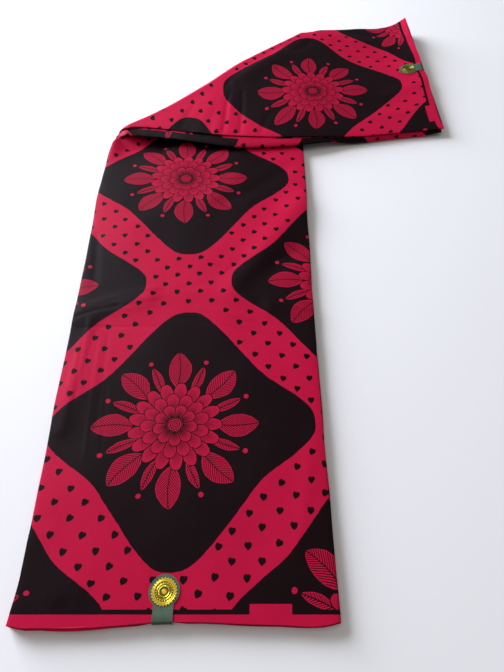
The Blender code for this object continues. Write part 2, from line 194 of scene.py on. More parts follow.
@dataclass(frozen=True)
class Strip:
    """How the folded strip lies: the sizes and curves that its solids have too.

    x runs across the strip from its left edge and y along it from its near selvedge.
    """

    width: float = 0.288
    wall: float = 1.2 * MM
    gap: float = 0.3 * MM
    thick: float = 8.8 * MM
    bend_half: float = 12.0 * MM
    edge_drop: float = 0.6 * MM
    drop_reach: float = 4.0 * MM
    rest_start: float = 0.316
    rest_end: float = 0.373
    right: float = 0.5040
    corner_draw: float = 0.0150
    corner_start: float = 0.120
    tip_reach: float = 0.0045
    tip_spread: float = 0.012
    tip_in: Span = (0.0045, 0.0170)
    tip_fade: float = 0.005
    corner_slide: float = 0.045
    pinch: float = 3.5 * MM
    pinch_spread: float = 14.0 * MM
    near_label: float = 0.1345
    far_label: float = 0.1585
    slip_fade: float = 0.010
    near_low: float = 2.0 * MM
    rim_high: float = 8.4 * MM
    rim_along: Span = (0.592, 0.650)
    rim_spread: float = 17.0 * MM
    hollow_deep: float = 7.8 * MM
    hollow_left: Span = (0.001, 0.040)
    hollow_right: Span = (0.070, 0.200)
    hollow_along: Span = (-0.066, -0.014)
    sway_high: float = 0.15 * MM
    end_high: float = 6.0 * MM
    end_along: Span = (0.470, 0.506)
    loose_reach: float = 0.040
    loose_from: float = 0.200
    near_edge: Curve = Curve((
        (0, 0.4), (13, -2.0), (24, -2.0), (75, -1.3), (107, 1.0), (126, 2.5), (164, 2.8), (233, 0.6),
        (280, 1.0), (290, 3.6),
    ))
    turn_shift: Curve = Curve((
        (0, 3.5), (6, 12.0), (20, 17.0), (45, 18.0), (120, 6.0), (200, -10.5), (240, -7.0), (288, 2.0),
    ))
    lower_edge: Curve = Curve((
        (0, 638.0), (10, 657.0), (24.5, 668.0), (40, 668.6), (60.5, 666.0), (88, 661.8), (111, 657.3),
        (134, 653.0), (157, 649.4), (185, 647.0), (210.5, 645.8), (284.5, 646.5), (331.5, 651.5),
        (381.5, 657.5), (439.5, 667.5), (508.5, 677.5),
    ))
    far_low: Curve = Curve((
        (0, 20.9), (240, 20.9), (290, 20.0), (345, 15.0), (400, 12.2), (445, 11.6), (472, 11.6),
    ))
    far_high: Curve = Curve((
        (0, 20.9), (240, 21.2), (290, 21.5), (345, 21.2), (400, 17.2), (445, 15.0), (472, 20.5),
        (492, 31.0), (507, 37.0),
    ))
    left_in: Curve = Curve((
        (0, 0.8), (12, 1.8), (30, 3.4), (60, 3.6), (115, 3.6), (160, 2.4), (210, 1.0), (300, 0.6), (360, 0),
        (430, 0), (480, -1.8), (530, -3.6), (560, -2.6), (600, -1.2), (640, 0),
    ))
    right_in: Curve = Curve((
        (0, 0), (60, -0.8), (120, -1.6), (250, -2.4), (370, -2.8), (430, -2.2), (500, -1.4), (560, 0),
        (650, 0),
    ))
    upper_out: Curve = Curve((
        (180, 0), (230, 3.4), (290, 4.0), (320, 2.0), (350, 4.0), (400, 8.5), (440, 8.0), (470, 7.0),
        (495, 10.0), (507, 12.0),
    ))

    @property
    def far_base_top(self) -> float:
        """The height at which the right run lies on the near run."""
        return self.thick + self.wall + 2.0 * self.gap

    @property
    def bend_centre(self) -> float:
        """The height of the diagonal turn's centre, and its outer radius."""
        return (self.thick + self.far_base_top) / 2.0

    def to_frame(self, x: Places, y: Places, z: Places) -> Places:
        """Places on the strip as rows of x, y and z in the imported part's frame."""
        return np.stack((x + CORNER.x, y + CORNER.y + self.near_low, z), axis=-1)

    def sink(self, across: Places) -> Places:
        """How far the upper surface sinks at the two long edges: an exponential fall."""
        return self.edge_drop * (fade(across, self.drop_reach) + fade(self.width - across, self.drop_reach))

    def rim(self, x: Places, y: Places) -> Places:
        """The raised rim of the mouth at the turn's left end."""
        return self.rim_high * ease(*self.rim_along, y) * bell(np.maximum(x, 0.0), self.rim_spread)

    def hollow(self, x: Places, y: Places) -> Places:
        """How deep the near run sinks in the mouth, below the right run's lower edge."""
        across = ease(*self.hollow_left, x) * (1.0 - ease(*self.hollow_right, x))
        return self.hollow_deep * across * ease(*self.hollow_along, y - self.lower_edge.at(x))

    def sway(self, x: Places, y: Places) -> Places:
        """A soft unevenness of the loose cloth: three slow waves that cross."""
        rows = ((71.0, 23.0, 0.6, 1.0), (-38.0, 58.0, 2.1, 1.0), (104.0, -47.0, 4.0, 0.6))
        return self.sway_high * waves(rows, x, y)

    def round_turn(self, turn: Places) -> Places:
        """How far the print moves round the outside of the turn, at right angles to its line."""
        arc = self.bend_centre * turn
        return np.stack((arc, -arc), axis=-1) * math.sqrt(0.5)

    def turn_line(self, across: Places) -> tuple[Places, Places]:
        """The outer line of the diagonal turn, 45 degrees plus a small shift."""
        x = across + self.turn_shift.at(across)
        return x, self.lower_edge.at(x) + across

    def right_end(self, across: Places) -> Places:
        """Where the cloth ends on the right: drawn in at its upper corner and at the label.

        Args:
            across: Places across the strip.

        Returns:
            The end's x on the strip.
        """
        draw = self.corner_draw * ease(self.corner_start, self.width, across)
        pinch = self.pinch * bell(across - self.far_label, self.pinch_spread)
        return self.right - draw - pinch + self.tip_reach * fade(across, self.tip_spread)

    def far_top(self, across: Places, x: Places) -> Places:
        """The right run's upper surface: from its lower height to its upper one by s^2.2.

        Args:
            across: Places across the strip, s being their share of its width.
            x: Places along x on the strip.

        Returns:
            The surface's height.
        """
        low, high = self.far_low.at(x), self.far_high.at(x)
        rise = (np.clip(across, 0.0, self.width) / self.width) ** 2.2
        return low + (high - low) * rise - self.sink(across)

    def far_base(self, x: Places) -> Places:
        """The right run's underside: on the near run, then down to the ground."""
        return self.far_base_top * (1.0 - ease(self.rest_start, self.rest_end, x))

    def end_rise(self, x: Places) -> Places:
        """How far the right run's lower front corner is off the ground, at its right end."""
        return self.end_high * ease(*self.end_along, x)

    def bend(self, across: Places, turn: Places, radius: Places) -> Three:
        """A point of the diagonal turn, a half circle about a line at 45 degrees.

        Args:
            across: Places across the strip.
            turn: Angle, from 0 below to pi above.
            radius: Distance from the turn's centre line.

        Returns:
            The point's x, y and z on the strip.
        """
        line_x, line_y = self.turn_line(across)
        slide = self.bend_half * (2.0 * turn / math.pi - 1.0) * math.sqrt(0.5)
        inward = (self.bend_centre - radius * np.sin(turn)) * math.sqrt(0.5)
        drawn = fade(across, self.tip_fade)
        x = line_x + slide + inward + self.tip_in[0] * drawn
        y = line_y + slide - inward + self.tip_in[1] * drawn
        return x, y, self.bend_centre - radius * np.cos(turn)

    def near_place(self, across: Places, along: Places) -> tuple[Places, Places]:
        """Where a point of the near run lies.

        Args:
            across: Places across the strip.
            along: Places along it, 0 at the selvedge and 1 at the turn.

        Returns:
            Its x and y on the strip.
        """
        end_x, end_y, _ = self.bend(across, np.zeros_like(across), self.bend_centre)
        start_y = self.near_edge.at(across)
        y = start_y + (end_y - start_y) * along
        x = across + (end_x - across) * ease(end_y - self.corner_slide, end_y, y)
        return x + self.drawn_in(across, y), y

    def drawn_in(self, across: Places, y: Places) -> Places:
        """How far the near run's loose long edges stand to the right of a straight line."""
        left = self.left_in.at(y) * bell(across, self.loose_reach)
        return left + self.right_in.at(y) * bell(self.width - across, self.loose_reach)

    def far_place(self, across: Places, along: Places) -> Three:
        """Where a point of the right run lies.

        Args:
            across: Places across the strip.
            along: Places along it, 0 at the turn and 1 at the selvedge.

        Returns:
            Its x and y on the strip, and how near it is to the turn, 1 to 0.
        """
        start_x, start_y, _ = self.bend(across, np.full_like(across, math.pi), self.bend_centre)
        x = start_x + (self.right_end(across) - start_x) * along
        slip = start_y - self.lower_edge.at(start_x) - across
        y = self.lower_edge.at(x) + across + slip * np.exp(-(x - start_x) / self.slip_fade)
        clear = ease(0.0, 0.03, x - start_x)
        return x, y + self.drawn_out(across, x) * clear, 1.0 - clear

    def drawn_out(self, across: Places, x: Places) -> Places:
        """How far the right run's upper edge stands out from a straight strip."""
        return self.upper_out.at(x) * ease(self.loose_from, self.width, across)


STRIP = Strip()


@dataclass(frozen=True)
class Print:
    """The print's repeat on the flat cloth, a half drop.

    across is the cloth's length and along its width, from selvedge to selvedge.
    """

    repeat_across: float = 0.3845
    repeat_along: float = 0.3790
    centre_across: float = 0.1295
    centre_along: float = 0.1860
    edge_blend: Span = (0.012, 0.050)

    @property
    def full_along(self) -> float:
        """The printed width, from selvedge to selvedge."""
        return 2.0 * self.centre_along + 2.0 * self.repeat_along


PRINT = Print()


def feed(tree: Tree, node: bpy.types.Node, inputs: Mapping[int | str, Value]) -> None:
    """Link or set a node's inputs.

    Args:
        tree: The node tree that it stands in.
        node: The node.
        inputs: For each input, by number or name, a socket to link or a value to set.
    """
    for key, value in inputs.items():
        if isinstance(value, Socket):
            tree.links.new(value, node.inputs[key])
        else:
            node.inputs[key].default_value = value


def add_node(tree: Tree, kind: str, inputs: Mapping[int | str, Value], **settings: str) -> bpy.types.Node:
    """Add one node with its settings, its inputs' values and its links.

    Args:
        tree: The node tree it goes into.
        kind: Blender's name for the kind of node.
        inputs: For each input, by number or name, a socket to link or a value to set.
        **settings: The node's own properties.

    Returns:
        The new node.
    """
    node = tree.nodes.new(kind)
    for name, value in settings.items():
        setattr(node, name, value)
    feed(tree, node, inputs)
    return node


def new_material(name: str) -> tuple[Material, Tree, bpy.types.Node]:
    """Start a material.

    Args:
        name: Its name.

    Returns:
        The material, its node tree and its shader.
    """
    material = bpy.data.materials.new(name)
    material.use_nodes = True
    return material, material.node_tree, material.node_tree.nodes["Principled BSDF"]


@dataclass(frozen=True)
class Sum:
    """A number that a material's nodes work out, so that a pattern is written as a formula.

    Masks are 1 inside and 0 outside: & is the smaller of two, and | the greater.
    """

    tree: Tree
    socket: Socket

    def do(self, operation: str, *terms: "Sum | float") -> "Sum":
        """Put this number through an operation.

        Args:
            operation: Blender's name for it.
            *terms: The operation's other terms.

        Returns:
            The result.
        """
        links = {n: term.socket if isinstance(term, Sum) else term for n, term in enumerate((self, *terms))}
        node = add_node(self.tree, "ShaderNodeMath", links, operation=operation)
        return Sum(self.tree, node.outputs[0])

    def __add__(self, other: "Sum | float") -> "Sum":
        """This plus the other."""
        return self.do("ADD", other)

    def __sub__(self, other: "Sum | float") -> "Sum":
        """This less the other."""
        return self.do("SUBTRACT", other)

    def __rsub__(self, other: float) -> "Sum":
        """The other less this."""
        return self.do("MULTIPLY_ADD", -1.0, other)

    def __mul__(self, other: "Sum | float") -> "Sum":
        """This times the other."""
        return self.do("MULTIPLY", other)

    def __truediv__(self, other: float) -> "Sum":
        """This divided by a plain number."""
        return self.do("MULTIPLY", 1.0 / other)

    def __pow__(self, other: float) -> "Sum":
        """This to the power of a plain number."""
        return self.do("POWER", other)

    def __abs__(self) -> "Sum":
        """This without its sign."""
        return self.do("ABSOLUTE")

    def __lt__(self, other: "Sum | float") -> "Sum":
        """1 where this is less."""
        return self.do("LESS_THAN", other)

    def __gt__(self, other: "Sum | float") -> "Sum":
        """1 where this is more."""
        return self.do("GREATER_THAN", other)

    def __and__(self, other: "Sum | float") -> "Sum":
        """The smaller of the two."""
        return self.do("MINIMUM", other)

    def __or__(self, other: "Sum | float") -> "Sum":
        """The greater of the two."""
        return self.do("MAXIMUM", other)


def sums(tree: Tree, kind: str, inputs: Mapping[int | str, Value], **settings: str) -> list[Sum]:
    """The outputs of a new node as numbers, from the same arguments as add_node."""
    return [Sum(tree, socket) for socket in add_node(tree, kind, inputs, **settings).outputs]


@dataclass(frozen=True)
class Diamond:
    """A large diamond with round tips and sides that are drawn in a little at their middles.

    It is two rhombs together, one long across and one long along, blended where they meet.
    Each one's size is |x| / tip + cbrt(|y|^3 + round^3) / side.
    """

    shift: float = 0.007
    across: tuple[float, float, float] = (0.1701, 0.1169, 0.0208)
    along: tuple[float, float, float] = (0.1724, 0.1287, 0.0213)
    blend: float = 0.07

    def size(self, x: Sum, y: Sum) -> Sum:
        """Work out the size of the diamond that reaches a place, 1 on the printed outline.

        Args:
            x: The place across, from the middle of the print's cell.
            y: The place along.

        Returns:
            The size.
        """
        tip_x, side_y, round_y = self.across
        tip_y, side_x, round_x = self.along
        a, b = abs(x - self.shift), abs(y)
        first = a / tip_x + (b * b * b + round_y ** 3) ** (1.0 / 3.0) / side_y
        second = b / tip_y + (a * a * a + round_x ** 3) ** (1.0 / 3.0) / side_x
        return first.do("SMOOTH_MIN", second, self.blend)


@dataclass(frozen=True)
class Hearts:
    """Small hearts on a lattice that runs with the bands, with rows a little unevenly apart.

    A heart stands wherever a crossing of two rows is clear of the diamonds. It is where
    X^2 + (Y - notch sqrt X)^2 < 1.
    """

    rows: float = 13.0
    sum_rule: tuple[float, float, float] = (0.5025, 0.0119, 0.434)
    difference_rule: tuple[float, float, float] = (0.5303, 0.0142, 2.231)
    clear: float = 1.045
    half: float = 3.45 * MM
    stretch: float = 0.98
    rise: float = 0.18
    notch: float = 0.58
    lean: float = 0.30
    lean_spread: float = 0.60
    wander: float = 2.4 * MM
    squash: float = 1.0

    def row(self, whole: Sum, rule: tuple[float, float, float]) -> tuple[Sum, Sum]:
        """Find the nearest row for one of the two directions.

        Args:
            whole: The place, counted over all cells of the print.
            rule: Where the rows start, and the reach and phase of their drift.

        Returns:
            The row's number, and the distance to its middle.
        """
        start, reach, phase = rule
        drifted = (whole * TAU + phase).do("COSINE") * reach + whole
        key = ((drifted - start) * self.rows).do("ROUND")
        even = key / self.rows + start
        middle = even - (even * TAU + phase).do("COSINE") * reach
        return key, whole - middle

    def mask(self, x: Sum, y: Sum, total: Sum, difference: Sum, diamond: Diamond) -> Sum:
        """Work out where a heart is, 1.

        Args:
            x: The place across, from the middle of the print's cell.
            y: The place along.
            total: The two shares of the repeat together, counted over all cells.
            difference: The first share less the second.
            diamond: The diamond that the hearts stay clear of.

        Returns:
            The mask.
        """
        tree = x.tree
        (key_m, m), (key_n, n) = self.row(total, self.sum_rule), self.row(difference, self.difference_rule)
        keys = add_node(tree, "ShaderNodeCombineXYZ", {0: key_m.socket, 1: key_n.socket}).outputs[0]
        chance = add_node(tree, "ShaderNodeTexWhiteNoise", {"Vector": keys}).outputs["Color"]
        first, second, third = sums(tree, "ShaderNodeSeparateXYZ", {0: chance})
        px = (m + n) * (PRINT.repeat_across / 2.0) + (first - 0.5) * self.wander
        py = (m - n) * (PRINT.repeat_along / 2.0) + (second - 0.5) * self.wander
        turn = (third - 0.5) * self.lean_spread + self.lean
        flat = px * self.squash
        place = add_node(tree, "ShaderNodeCombineXYZ", {0: flat.socket, 1: py.socket}).outputs[0]
        turning = {"Vector": place, "Angle": turn.socket}
        turned = add_node(tree, "ShaderNodeVectorRotate", turning, rotation_type="Z_AXIS").outputs[0]
        tx, ty, _ = sums(tree, "ShaderNodeSeparateXYZ", {0: turned})
        side = abs(tx) / self.half
        lobe = ty / (self.half * self.stretch) + self.rise - side.do("SQRT") * self.notch
        inside = side * side + lobe * lobe < 1.0
        return inside & (diamond.size(x - px, y - py) > self.clear)


@dataclass(frozen=True)
class Selvedge:
    """The printed edges: a plain band, a black line beside it, and one plain box."""

    box_across: float
    box_end: End
    band: float = 8.5 * MM
    line: float = 12.4 * MM
    box: float = 16.7 * MM
    box_half: float = 18.5 * MM

    def masks(self, across: Sum, along: Sum) -> tuple[Sum, Sum]:
        """Work out where the line and the plain parts are.

        Args:
            across: The place along the cloth's length.
            along: The place along its width, from selvedge to selvedge.

        Returns:
            Two masks: 0 at the edge and on the line, and 1 in the band and the box.
        """
        far = PRINT.full_along - along
        edge = along & far
        end = far if self.box_end is End.RIGHT else along
        box = (end < self.box) & (abs(across - self.box_across) < self.box_half)
        return edge > self.line, (edge < self.band) | box


@dataclass(frozen=True)
class Petals:
    """A ring of hatched petals.

    With w from 0 at a petal's middle to 1 at its side, the ring reaches to
    radius (1 - droop w^2.4). Hatch lines run from the middle outwards and grow thinner.
    """

    count: int
    radius: float
    turn: float
    droop: float = 0.24
    split: float = 0.55 * MM
    hatches: float = 11.0
    halo: float = 1.1 * MM

    def draw(self, r: Sum, theta: Sum, behind: Sum) -> Sum:
        """Draw the ring over what is behind it.

        Args:
            r: Distance from the flower's middle.
            theta: Angle round it.
            behind: The print below, 1 where it is inked.

        Returns:
            The print with the ring on top.
        """
        half = abs((theta * (self.count / TAU) + self.turn).do("WRAP", 0.5, -0.5))
        w = half * 2.0
        depth = w ** 2.4 * (-self.droop * self.radius) + self.radius - r
        hatch = (half * self.hatches).do("PINGPONG", 0.5) < depth * (0.78 / self.radius) + 0.02
        split = (1.0 - w) * r < self.split * self.count / math.pi
        return (depth > 0.0) - (hatch | split) | behind & (depth < -self.halo)


@dataclass(frozen=True)
class Leaves:
    """A set of curved, veined leaves.

    With f from 0 at a leaf's foot to 1 at its tip, its half width is half (4 f (1 - f))^0.8.
    """

    count: int
    turn: float
    start: float
    end: float
    half: float
    sweep: float = 0.72
    rim: float = 0.7 * MM
    rib: float = 0.5 * MM
    vein_pitch: float = 3.0 * MM
    halo: float = 1.1 * MM

    def draw(self, r: Sum, theta: Sum, behind: Sum) -> Sum:
        """Draw the leaves over what is behind them.

        Args:
            r: Distance from the flower's middle.
            theta: Angle round it.
            behind: The print below, 1 where it is inked.

        Returns:
            The print with the leaves on top.
        """
        angle = (theta * (self.count / TAU) + self.turn).do("WRAP", 0.5, -0.5) * (TAU / self.count)
        out = angle.do("COSINE") * r
        f = (out - self.start) / (self.end - self.start)
        hump = f * (1.0 - f)
        off = abs(hump * (self.sweep * self.half) + angle.do("SINE") * r)
        full = (hump | 0.0) ** 0.8 * (self.half * 4.0 ** 0.8)
        depth = (hump & 0.0) * 0.05 + full - off
        vein = (((out - off * 1.2) / self.vein_pitch).do("PINGPONG", 0.5) < 0.20) & (depth > self.rim)
        return (depth > 0.0) - ((off < self.rib) | vein) | behind & (depth < -self.halo)


@dataclass(frozen=True)
class Medallion:
    """A generic flower, printed in the middle of each diamond.

    Three rings of petals overlap, and buds and two sets of leaves stand out behind them.
    """

    leaves: tuple[Leaves, ...] = (
        Leaves(8, 0.5, 0.040, 0.074, 0.0052), Leaves(8, 0.0, 0.044, 0.088, 0.0125),
    )
    petals: tuple[Petals, ...] = (Petals(17, 0.049, 0.0), Petals(13, 0.036, 0.5), Petals(9, 0.023, 0.2))
    buds: int = 8
    bud_at: float = 0.080
    bud_half: float = 2.6 * MM
    disc: float = 8.0 * MM
    eye_pitch: float = 2.4 * MM

    def mask(self, x: Sum, y: Sum) -> Sum:
        """The whole medallion, 1 where it is inked.

        Args:
            x: The place across, from the diamond's middle.
            y: The place along.

        Returns:
            The mask.
        """
        r = (x * x + y * y).do("SQRT")
        theta = y.do("ARCTAN2", x)
        aside = (theta * (self.buds / TAU) + 0.5).do("WRAP", 0.5, -0.5) * (TAU / self.buds) * r
        out = r - self.bud_at
        inked = out * out + aside * aside < self.bud_half ** 2
        for part in self.leaves + self.petals:
            inked = part.draw(r, theta, inked)
        flower = r > self.disc
        eye = (r / self.eye_pitch).do("PINGPONG", 0.5) > 0.22
        return flower & inked | eye - flower


@dataclass(frozen=True)
class WaxPrintCotton:
    """Wax print cotton: a plain weave, calendered, printed in two colours on both sides.

    Plain woven cotton scatters light, so it looks matt, with a weak veil of sheen from its
    fibres and a soft gloss where it is pressed. The ink soaks through, so its edges are crisp,
    and the threads show as a fine grain of light and dark.
    """

    name: str
    selvedge: Selvedge
    hearts: Hearts = Hearts()
    crimson: str = "be113c"
    black: str = "16070a"
    veil: str = "cdd2e6"
    # Real threads are 0.3 mm apart, which is too fine to show here, so they are drawn coarser.
    thread: float = 1.3 * MM
    thread_depth: float = 0.05 * MM
    roughness: float = 0.52
    # The outlines waver by noise of these scales and reaches, as a hand-cut roller's do.
    wavers: tuple[tuple[float, float], ...] = ((160.0, 1.2 * MM), (11.0, 3.0 * MM))

    def print_mask(self, place: Socket, across: Sum, along: Sum) -> Sum:
        """Work out where the cloth is crimson, 1, and where it is black, 0.

        Args:
            place: The place on the flat cloth, as one vector.
            across: Its part along the cloth's length.
            along: Its part along the cloth's width.

        Returns:
            The mask.
        """
        tree = across.tree
        past_line, plain = self.selvedge.masks(across, along)
        for scale, reach in self.wavers:
            noise = add_node(tree, "ShaderNodeTexNoise", {"Vector": place, "Scale": scale, "Detail": 1.0})
            level = {0: noise.outputs["Color"], 1: (-0.5, -0.5, -0.5)}
            centred = add_node(tree, "ShaderNodeVectorMath", level, operation="ADD")
            step = {0: centred.outputs[0], 1: (reach, reach, reach), 2: place}
            place = add_node(tree, "ShaderNodeVectorMath", step, operation="MULTIPLY_ADD").outputs[0]
        across, along, _ = sums(tree, "ShaderNodeSeparateXYZ", {0: place})
        p = (across - PRINT.centre_across) / PRINT.repeat_across
        q = (along - PRINT.centre_along) / PRINT.repeat_along
        total, difference = p + q, p - q
        m, n = total.do("WRAP", 0.5, -0.5), difference.do("WRAP", 0.5, -0.5)
        x, y = (m + n) * (PRINT.repeat_across / 2.0), (m - n) * (PRINT.repeat_along / 2.0)
        diamond = Diamond()
        inside = diamond.size(x, y) < 1.0
        ground = 1.0 - (inside | self.hearts.mask(x, y, total, difference, diamond))
        return (ground | inside & Medallion().mask(x, y)) & past_line | plain

    def make(self) -> Material:
        """Make the material, with its print, threads and soft gloss.

        Returns:
            The finished material.
        """
        material, tree, shader = new_material(self.name)
        place = add_node(tree, "ShaderNodeUVMap", {}, uv_map=CLOTH_MAP).outputs[0]
        across, along, _ = sums(tree, "ShaderNodeSeparateXYZ", {0: place})
        soft = {"Vector": place, "Scale": 38.0, "Detail": 6.0, "Roughness": 0.7}
        cloud = sums(tree, "ShaderNodeTexNoise", soft)[0]
        slub = sums(tree, "ShaderNodeTexNoise", {"Vector": place, "Scale": 420.0, "Detail": 3.0})[0]
        weave = (across * (TAU / self.thread)).do("SINE") * (along * (TAU / self.thread)).do("SINE")
        tone = (cloud * 0.16 + 0.92) * (weave * 0.05 + 0.97)
        gloss = cloud * 0.18 + (self.roughness - 0.09)
        height = cloud * 5.0 + (slub * 1.2 + weave)
        mask = self.print_mask(place, across, along).socket
        inks = {0: mask, 6: linear(self.black), 7: linear(self.crimson)}
        colour = add_node(tree, "ShaderNodeMix", inks, data_type="RGBA").outputs[2]
        shade = {0: colour, "Scale": tone.socket}
        shaded = add_node(tree, "ShaderNodeVectorMath", shade, operation="SCALE").outputs[0]
        relief = {"Height": height.socket, "Distance": self.thread_depth, "Strength": 1.0}
        bump = add_node(tree, "ShaderNodeBump", relief).outputs[0]
        feed(tree, shader, {
            "Base Color": shaded, "Roughness": gloss.socket, "Normal": bump,
            "Specular IOR Level": 0.055, "Sheen Weight": 0.02, "Sheen Roughness": 0.40,
            "Sheen Tint": linear(self.veil),
        })
        return material


@dataclass(frozen=True)
class LabelPaper:
    """Uncoated label paper printed dark green: matt, with short fibres that mottle it.

    Towards the fold, where the label turns down over the edge, painted shade darkens the green in noisy dots.
    """

    name: str = "label paper"
    green: str = "35493a"
    light: str = "506653"
    # The dark green of the painted shade along the fold.
    folded: str = "2c4029"
    fold_reach: float = 5.5 * MM
    fibre_depth: float = 0.06 * MM

    def make(self) -> Material:
        """Make the material.

        Returns:
            The finished material.
        """
        material, tree, shader = new_material(self.name)
        place = add_node(tree, "ShaderNodeTexCoord", {}).outputs["Object"]
        fibres = sums(tree, "ShaderNodeTexNoise", {"Vector": place, "Scale": 900.0, "Detail": 5.0})[0]
        clouds = sums(tree, "ShaderNodeTexNoise", {"Vector": place, "Scale": 120.0, "Detail": 3.0})[0]
        on_label = add_node(tree, "ShaderNodeUVMap", {}, uv_map=CLOTH_MAP).outputs[0]
        reach = sums(tree, "ShaderNodeSeparateXYZ", {0: on_label})[1]
        lit = (fibres + clouds) * 1.6 - 1.1
        # Painted shade: the share of dark green, rising towards the fold and broken into dots by the fibres'
        # noise.
        dark = (1.0 - reach / self.fold_reach + (fibres * 2.4 - 1.2)) & 0.9 | 0.0
        greens = {0: lit.socket, 6: linear(self.green), 7: linear(self.light)}
        unshaded_green = add_node(tree, "ShaderNodeMix", greens, data_type="RGBA").outputs[2]
        fold_shading = {0: dark.socket, 6: unshaded_green, 7: linear(self.folded)}
        colour = add_node(tree, "ShaderNodeMix", fold_shading, data_type="RGBA").outputs[2]
        relief = {"Height": fibres.socket, "Distance": self.fibre_depth, "Strength": 0.7}
        bump = add_node(tree, "ShaderNodeBump", relief).outputs[0]
        rough = fibres * 0.2 + 0.55
        feed(tree, shader, {"Base Color": colour, "Roughness": rough.socket, "Normal": bump})
        return material


@dataclass(frozen=True)
class SealFoil:
    """Embossed gold foil on paper: a thin mirror, dulled by fine grain and dark in its hollows."""

    name: str
    gold: str = "e6c845"
    hollow: str = "5e5a22"
    roughness: float = 0.30
    grain_depth: float = 0.05 * MM

    def make(self) -> Material:
        """Make the material, which reads the emboss's depth from an attribute.

        Returns:
            The finished material.
        """
        material, tree, shader = new_material(self.name)
        place = add_node(tree, "ShaderNodeTexCoord", {}).outputs["Object"]
        attribute = add_node(tree, "ShaderNodeAttribute", {}, attribute_name=EMBOSS)
        depth = Sum(tree, attribute.outputs["Fac"])
        grain = sums(tree, "ShaderNodeTexNoise", {"Vector": place, "Scale": 700.0, "Detail": 4.0})[0]
        raised = (grain * 0.5 + depth) * 1.6 - 0.55
        golds = {0: raised.socket, 6: linear(self.hollow), 7: linear(self.gold)}
        colour = add_node(tree, "ShaderNodeMix", golds, data_type="RGBA").outputs[2]
        relief = {"Height": grain.socket, "Distance": self.grain_depth, "Strength": 0.6}
        bump = add_node(tree, "ShaderNodeBump", relief).outputs[0]
        rough = grain * 0.25 + (self.roughness - 0.1)
        inputs = {"Base Color": colour, "Roughness": rough.socket, "Normal": bump, "Metallic": 0.85}
        feed(tree, shader, inputs)
        return material


def add_object(name: str, data: bpy.types.ID) -> bpy.types.Object:
    """Put a new object into the scene.

    Args:
        name: Its name.
        data: Its mesh, light or camera.

    Returns:
        The object.
    """
    made = bpy.data.objects.new(name, data)
    bpy.context.scene.collection.objects.link(made)
    return made


def quads(number: Places) -> Places:
    """Rows of four corner numbers for each cell of a grid of point numbers."""
    cells = (number[:-1, :-1], number[1:, :-1], number[1:, 1:], number[:-1, 1:])
    return np.stack(cells, axis=-1).reshape(-1, 4)


@dataclass
class Piece:
    """One mesh of the object, with its corner maps and, on a seal, its emboss's depth."""

    name: str
    points: Places
    depth: Places | None = None
    faces: list[Places] = field(default_factory=list)
    cloth: list[Places] = field(default_factory=list)
    bake: list[Places] = field(default_factory=list)

    def add(self, corners: Places, cloth: Places, bake: Places | None = None) -> None:
        """Add faces that all have the same number of corners.

        Args:
            corners: Point numbers, one row for each face.
            cloth: The cloth's own coordinates at each corner.
            bake: A place in the baked picture for each corner, where the piece has such a map.
        """
        self.faces.append(corners)
        self.cloth.append(cloth.reshape(-1, 2))
        if bake is not None:
            self.bake.append(bake.reshape(-1, 2))

    def add_grid(self, number: Places, cloth: Places, turned: bool = False) -> None:
        """Add the cells of a grid of point numbers.

        Args:
            number: Point numbers.
            cloth: The cloth's own coordinates at each point.
            turned: Whether the cells face the other way.
        """
        cells = quads(number)
        cells = cells[:, ::-1] if turned else cells
        self.add(cells, cloth[cells])

    def make(self, finish: Material, slot: Slot, *nodes: str) -> bpy.types.Object:
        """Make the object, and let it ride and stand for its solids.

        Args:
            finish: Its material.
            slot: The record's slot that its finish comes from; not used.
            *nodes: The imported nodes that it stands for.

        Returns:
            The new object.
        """
        mesh = bpy.data.meshes.new(self.name)
        mesh.from_pydata(self.points.tolist(), [], [row for block in self.faces for row in block.tolist()])
        for map_name, blocks in ((CLOTH_MAP, self.cloth), (BAKE_MAP, self.bake)):
            if blocks:
                layer = mesh.uv_layers.new(name=map_name)
                layer.data.foreach_set("uv", np.concatenate(blocks).astype(np.float32).ravel())
        if self.depth is not None:
            layer = mesh.attributes.new(EMBOSS, "FLOAT", "POINT")
            layer.data.foreach_set("value", self.depth.astype(np.float32))
        mesh.shade_smooth()
        mesh.set_sharp_from_angle(angle=math.radians(50.0))
        mesh.materials.append(finish)
        made = add_object(self.name, mesh)
        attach(made, BODY)
        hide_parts(*nodes)
        LOG.info("%s: %d points, %d faces", self.name, len(mesh.vertices), len(mesh.polygons))
        return made


@dataclass(frozen=True)
class Ring:
    """The cross-section of a thin shell: over its top, round its edge, below and up again."""

    columns: int
    edge_steps: int = 6
    below: int = 3

    def parts(self, width: float, radius: float) -> Three:
        """Where each point of the section is.

        Args:
            width: The shell's width, its edges included.
            radius: Half of its thickness, which its edges are rounded to.

        Returns:
            The place across, the level from 0 below to 1 on top, and the way out sideways.
        """
        top = np.linspace(radius, width - radius, self.columns)
        round_it = np.linspace(0.0, math.pi, self.edge_steps + 2)[1:-1]
        under = np.linspace(width - radius, radius, self.below + 2)
        across = np.concatenate((
            top, np.full(self.edge_steps, width - radius), under, np.full(self.edge_steps, radius),
        ))
        angle = np.concatenate((
            np.zeros(self.columns), round_it, np.full(self.below + 2, math.pi), math.pi + round_it,
        ))
        return across, (1.0 + np.cos(angle)) / 2.0, radius * np.sin(angle)


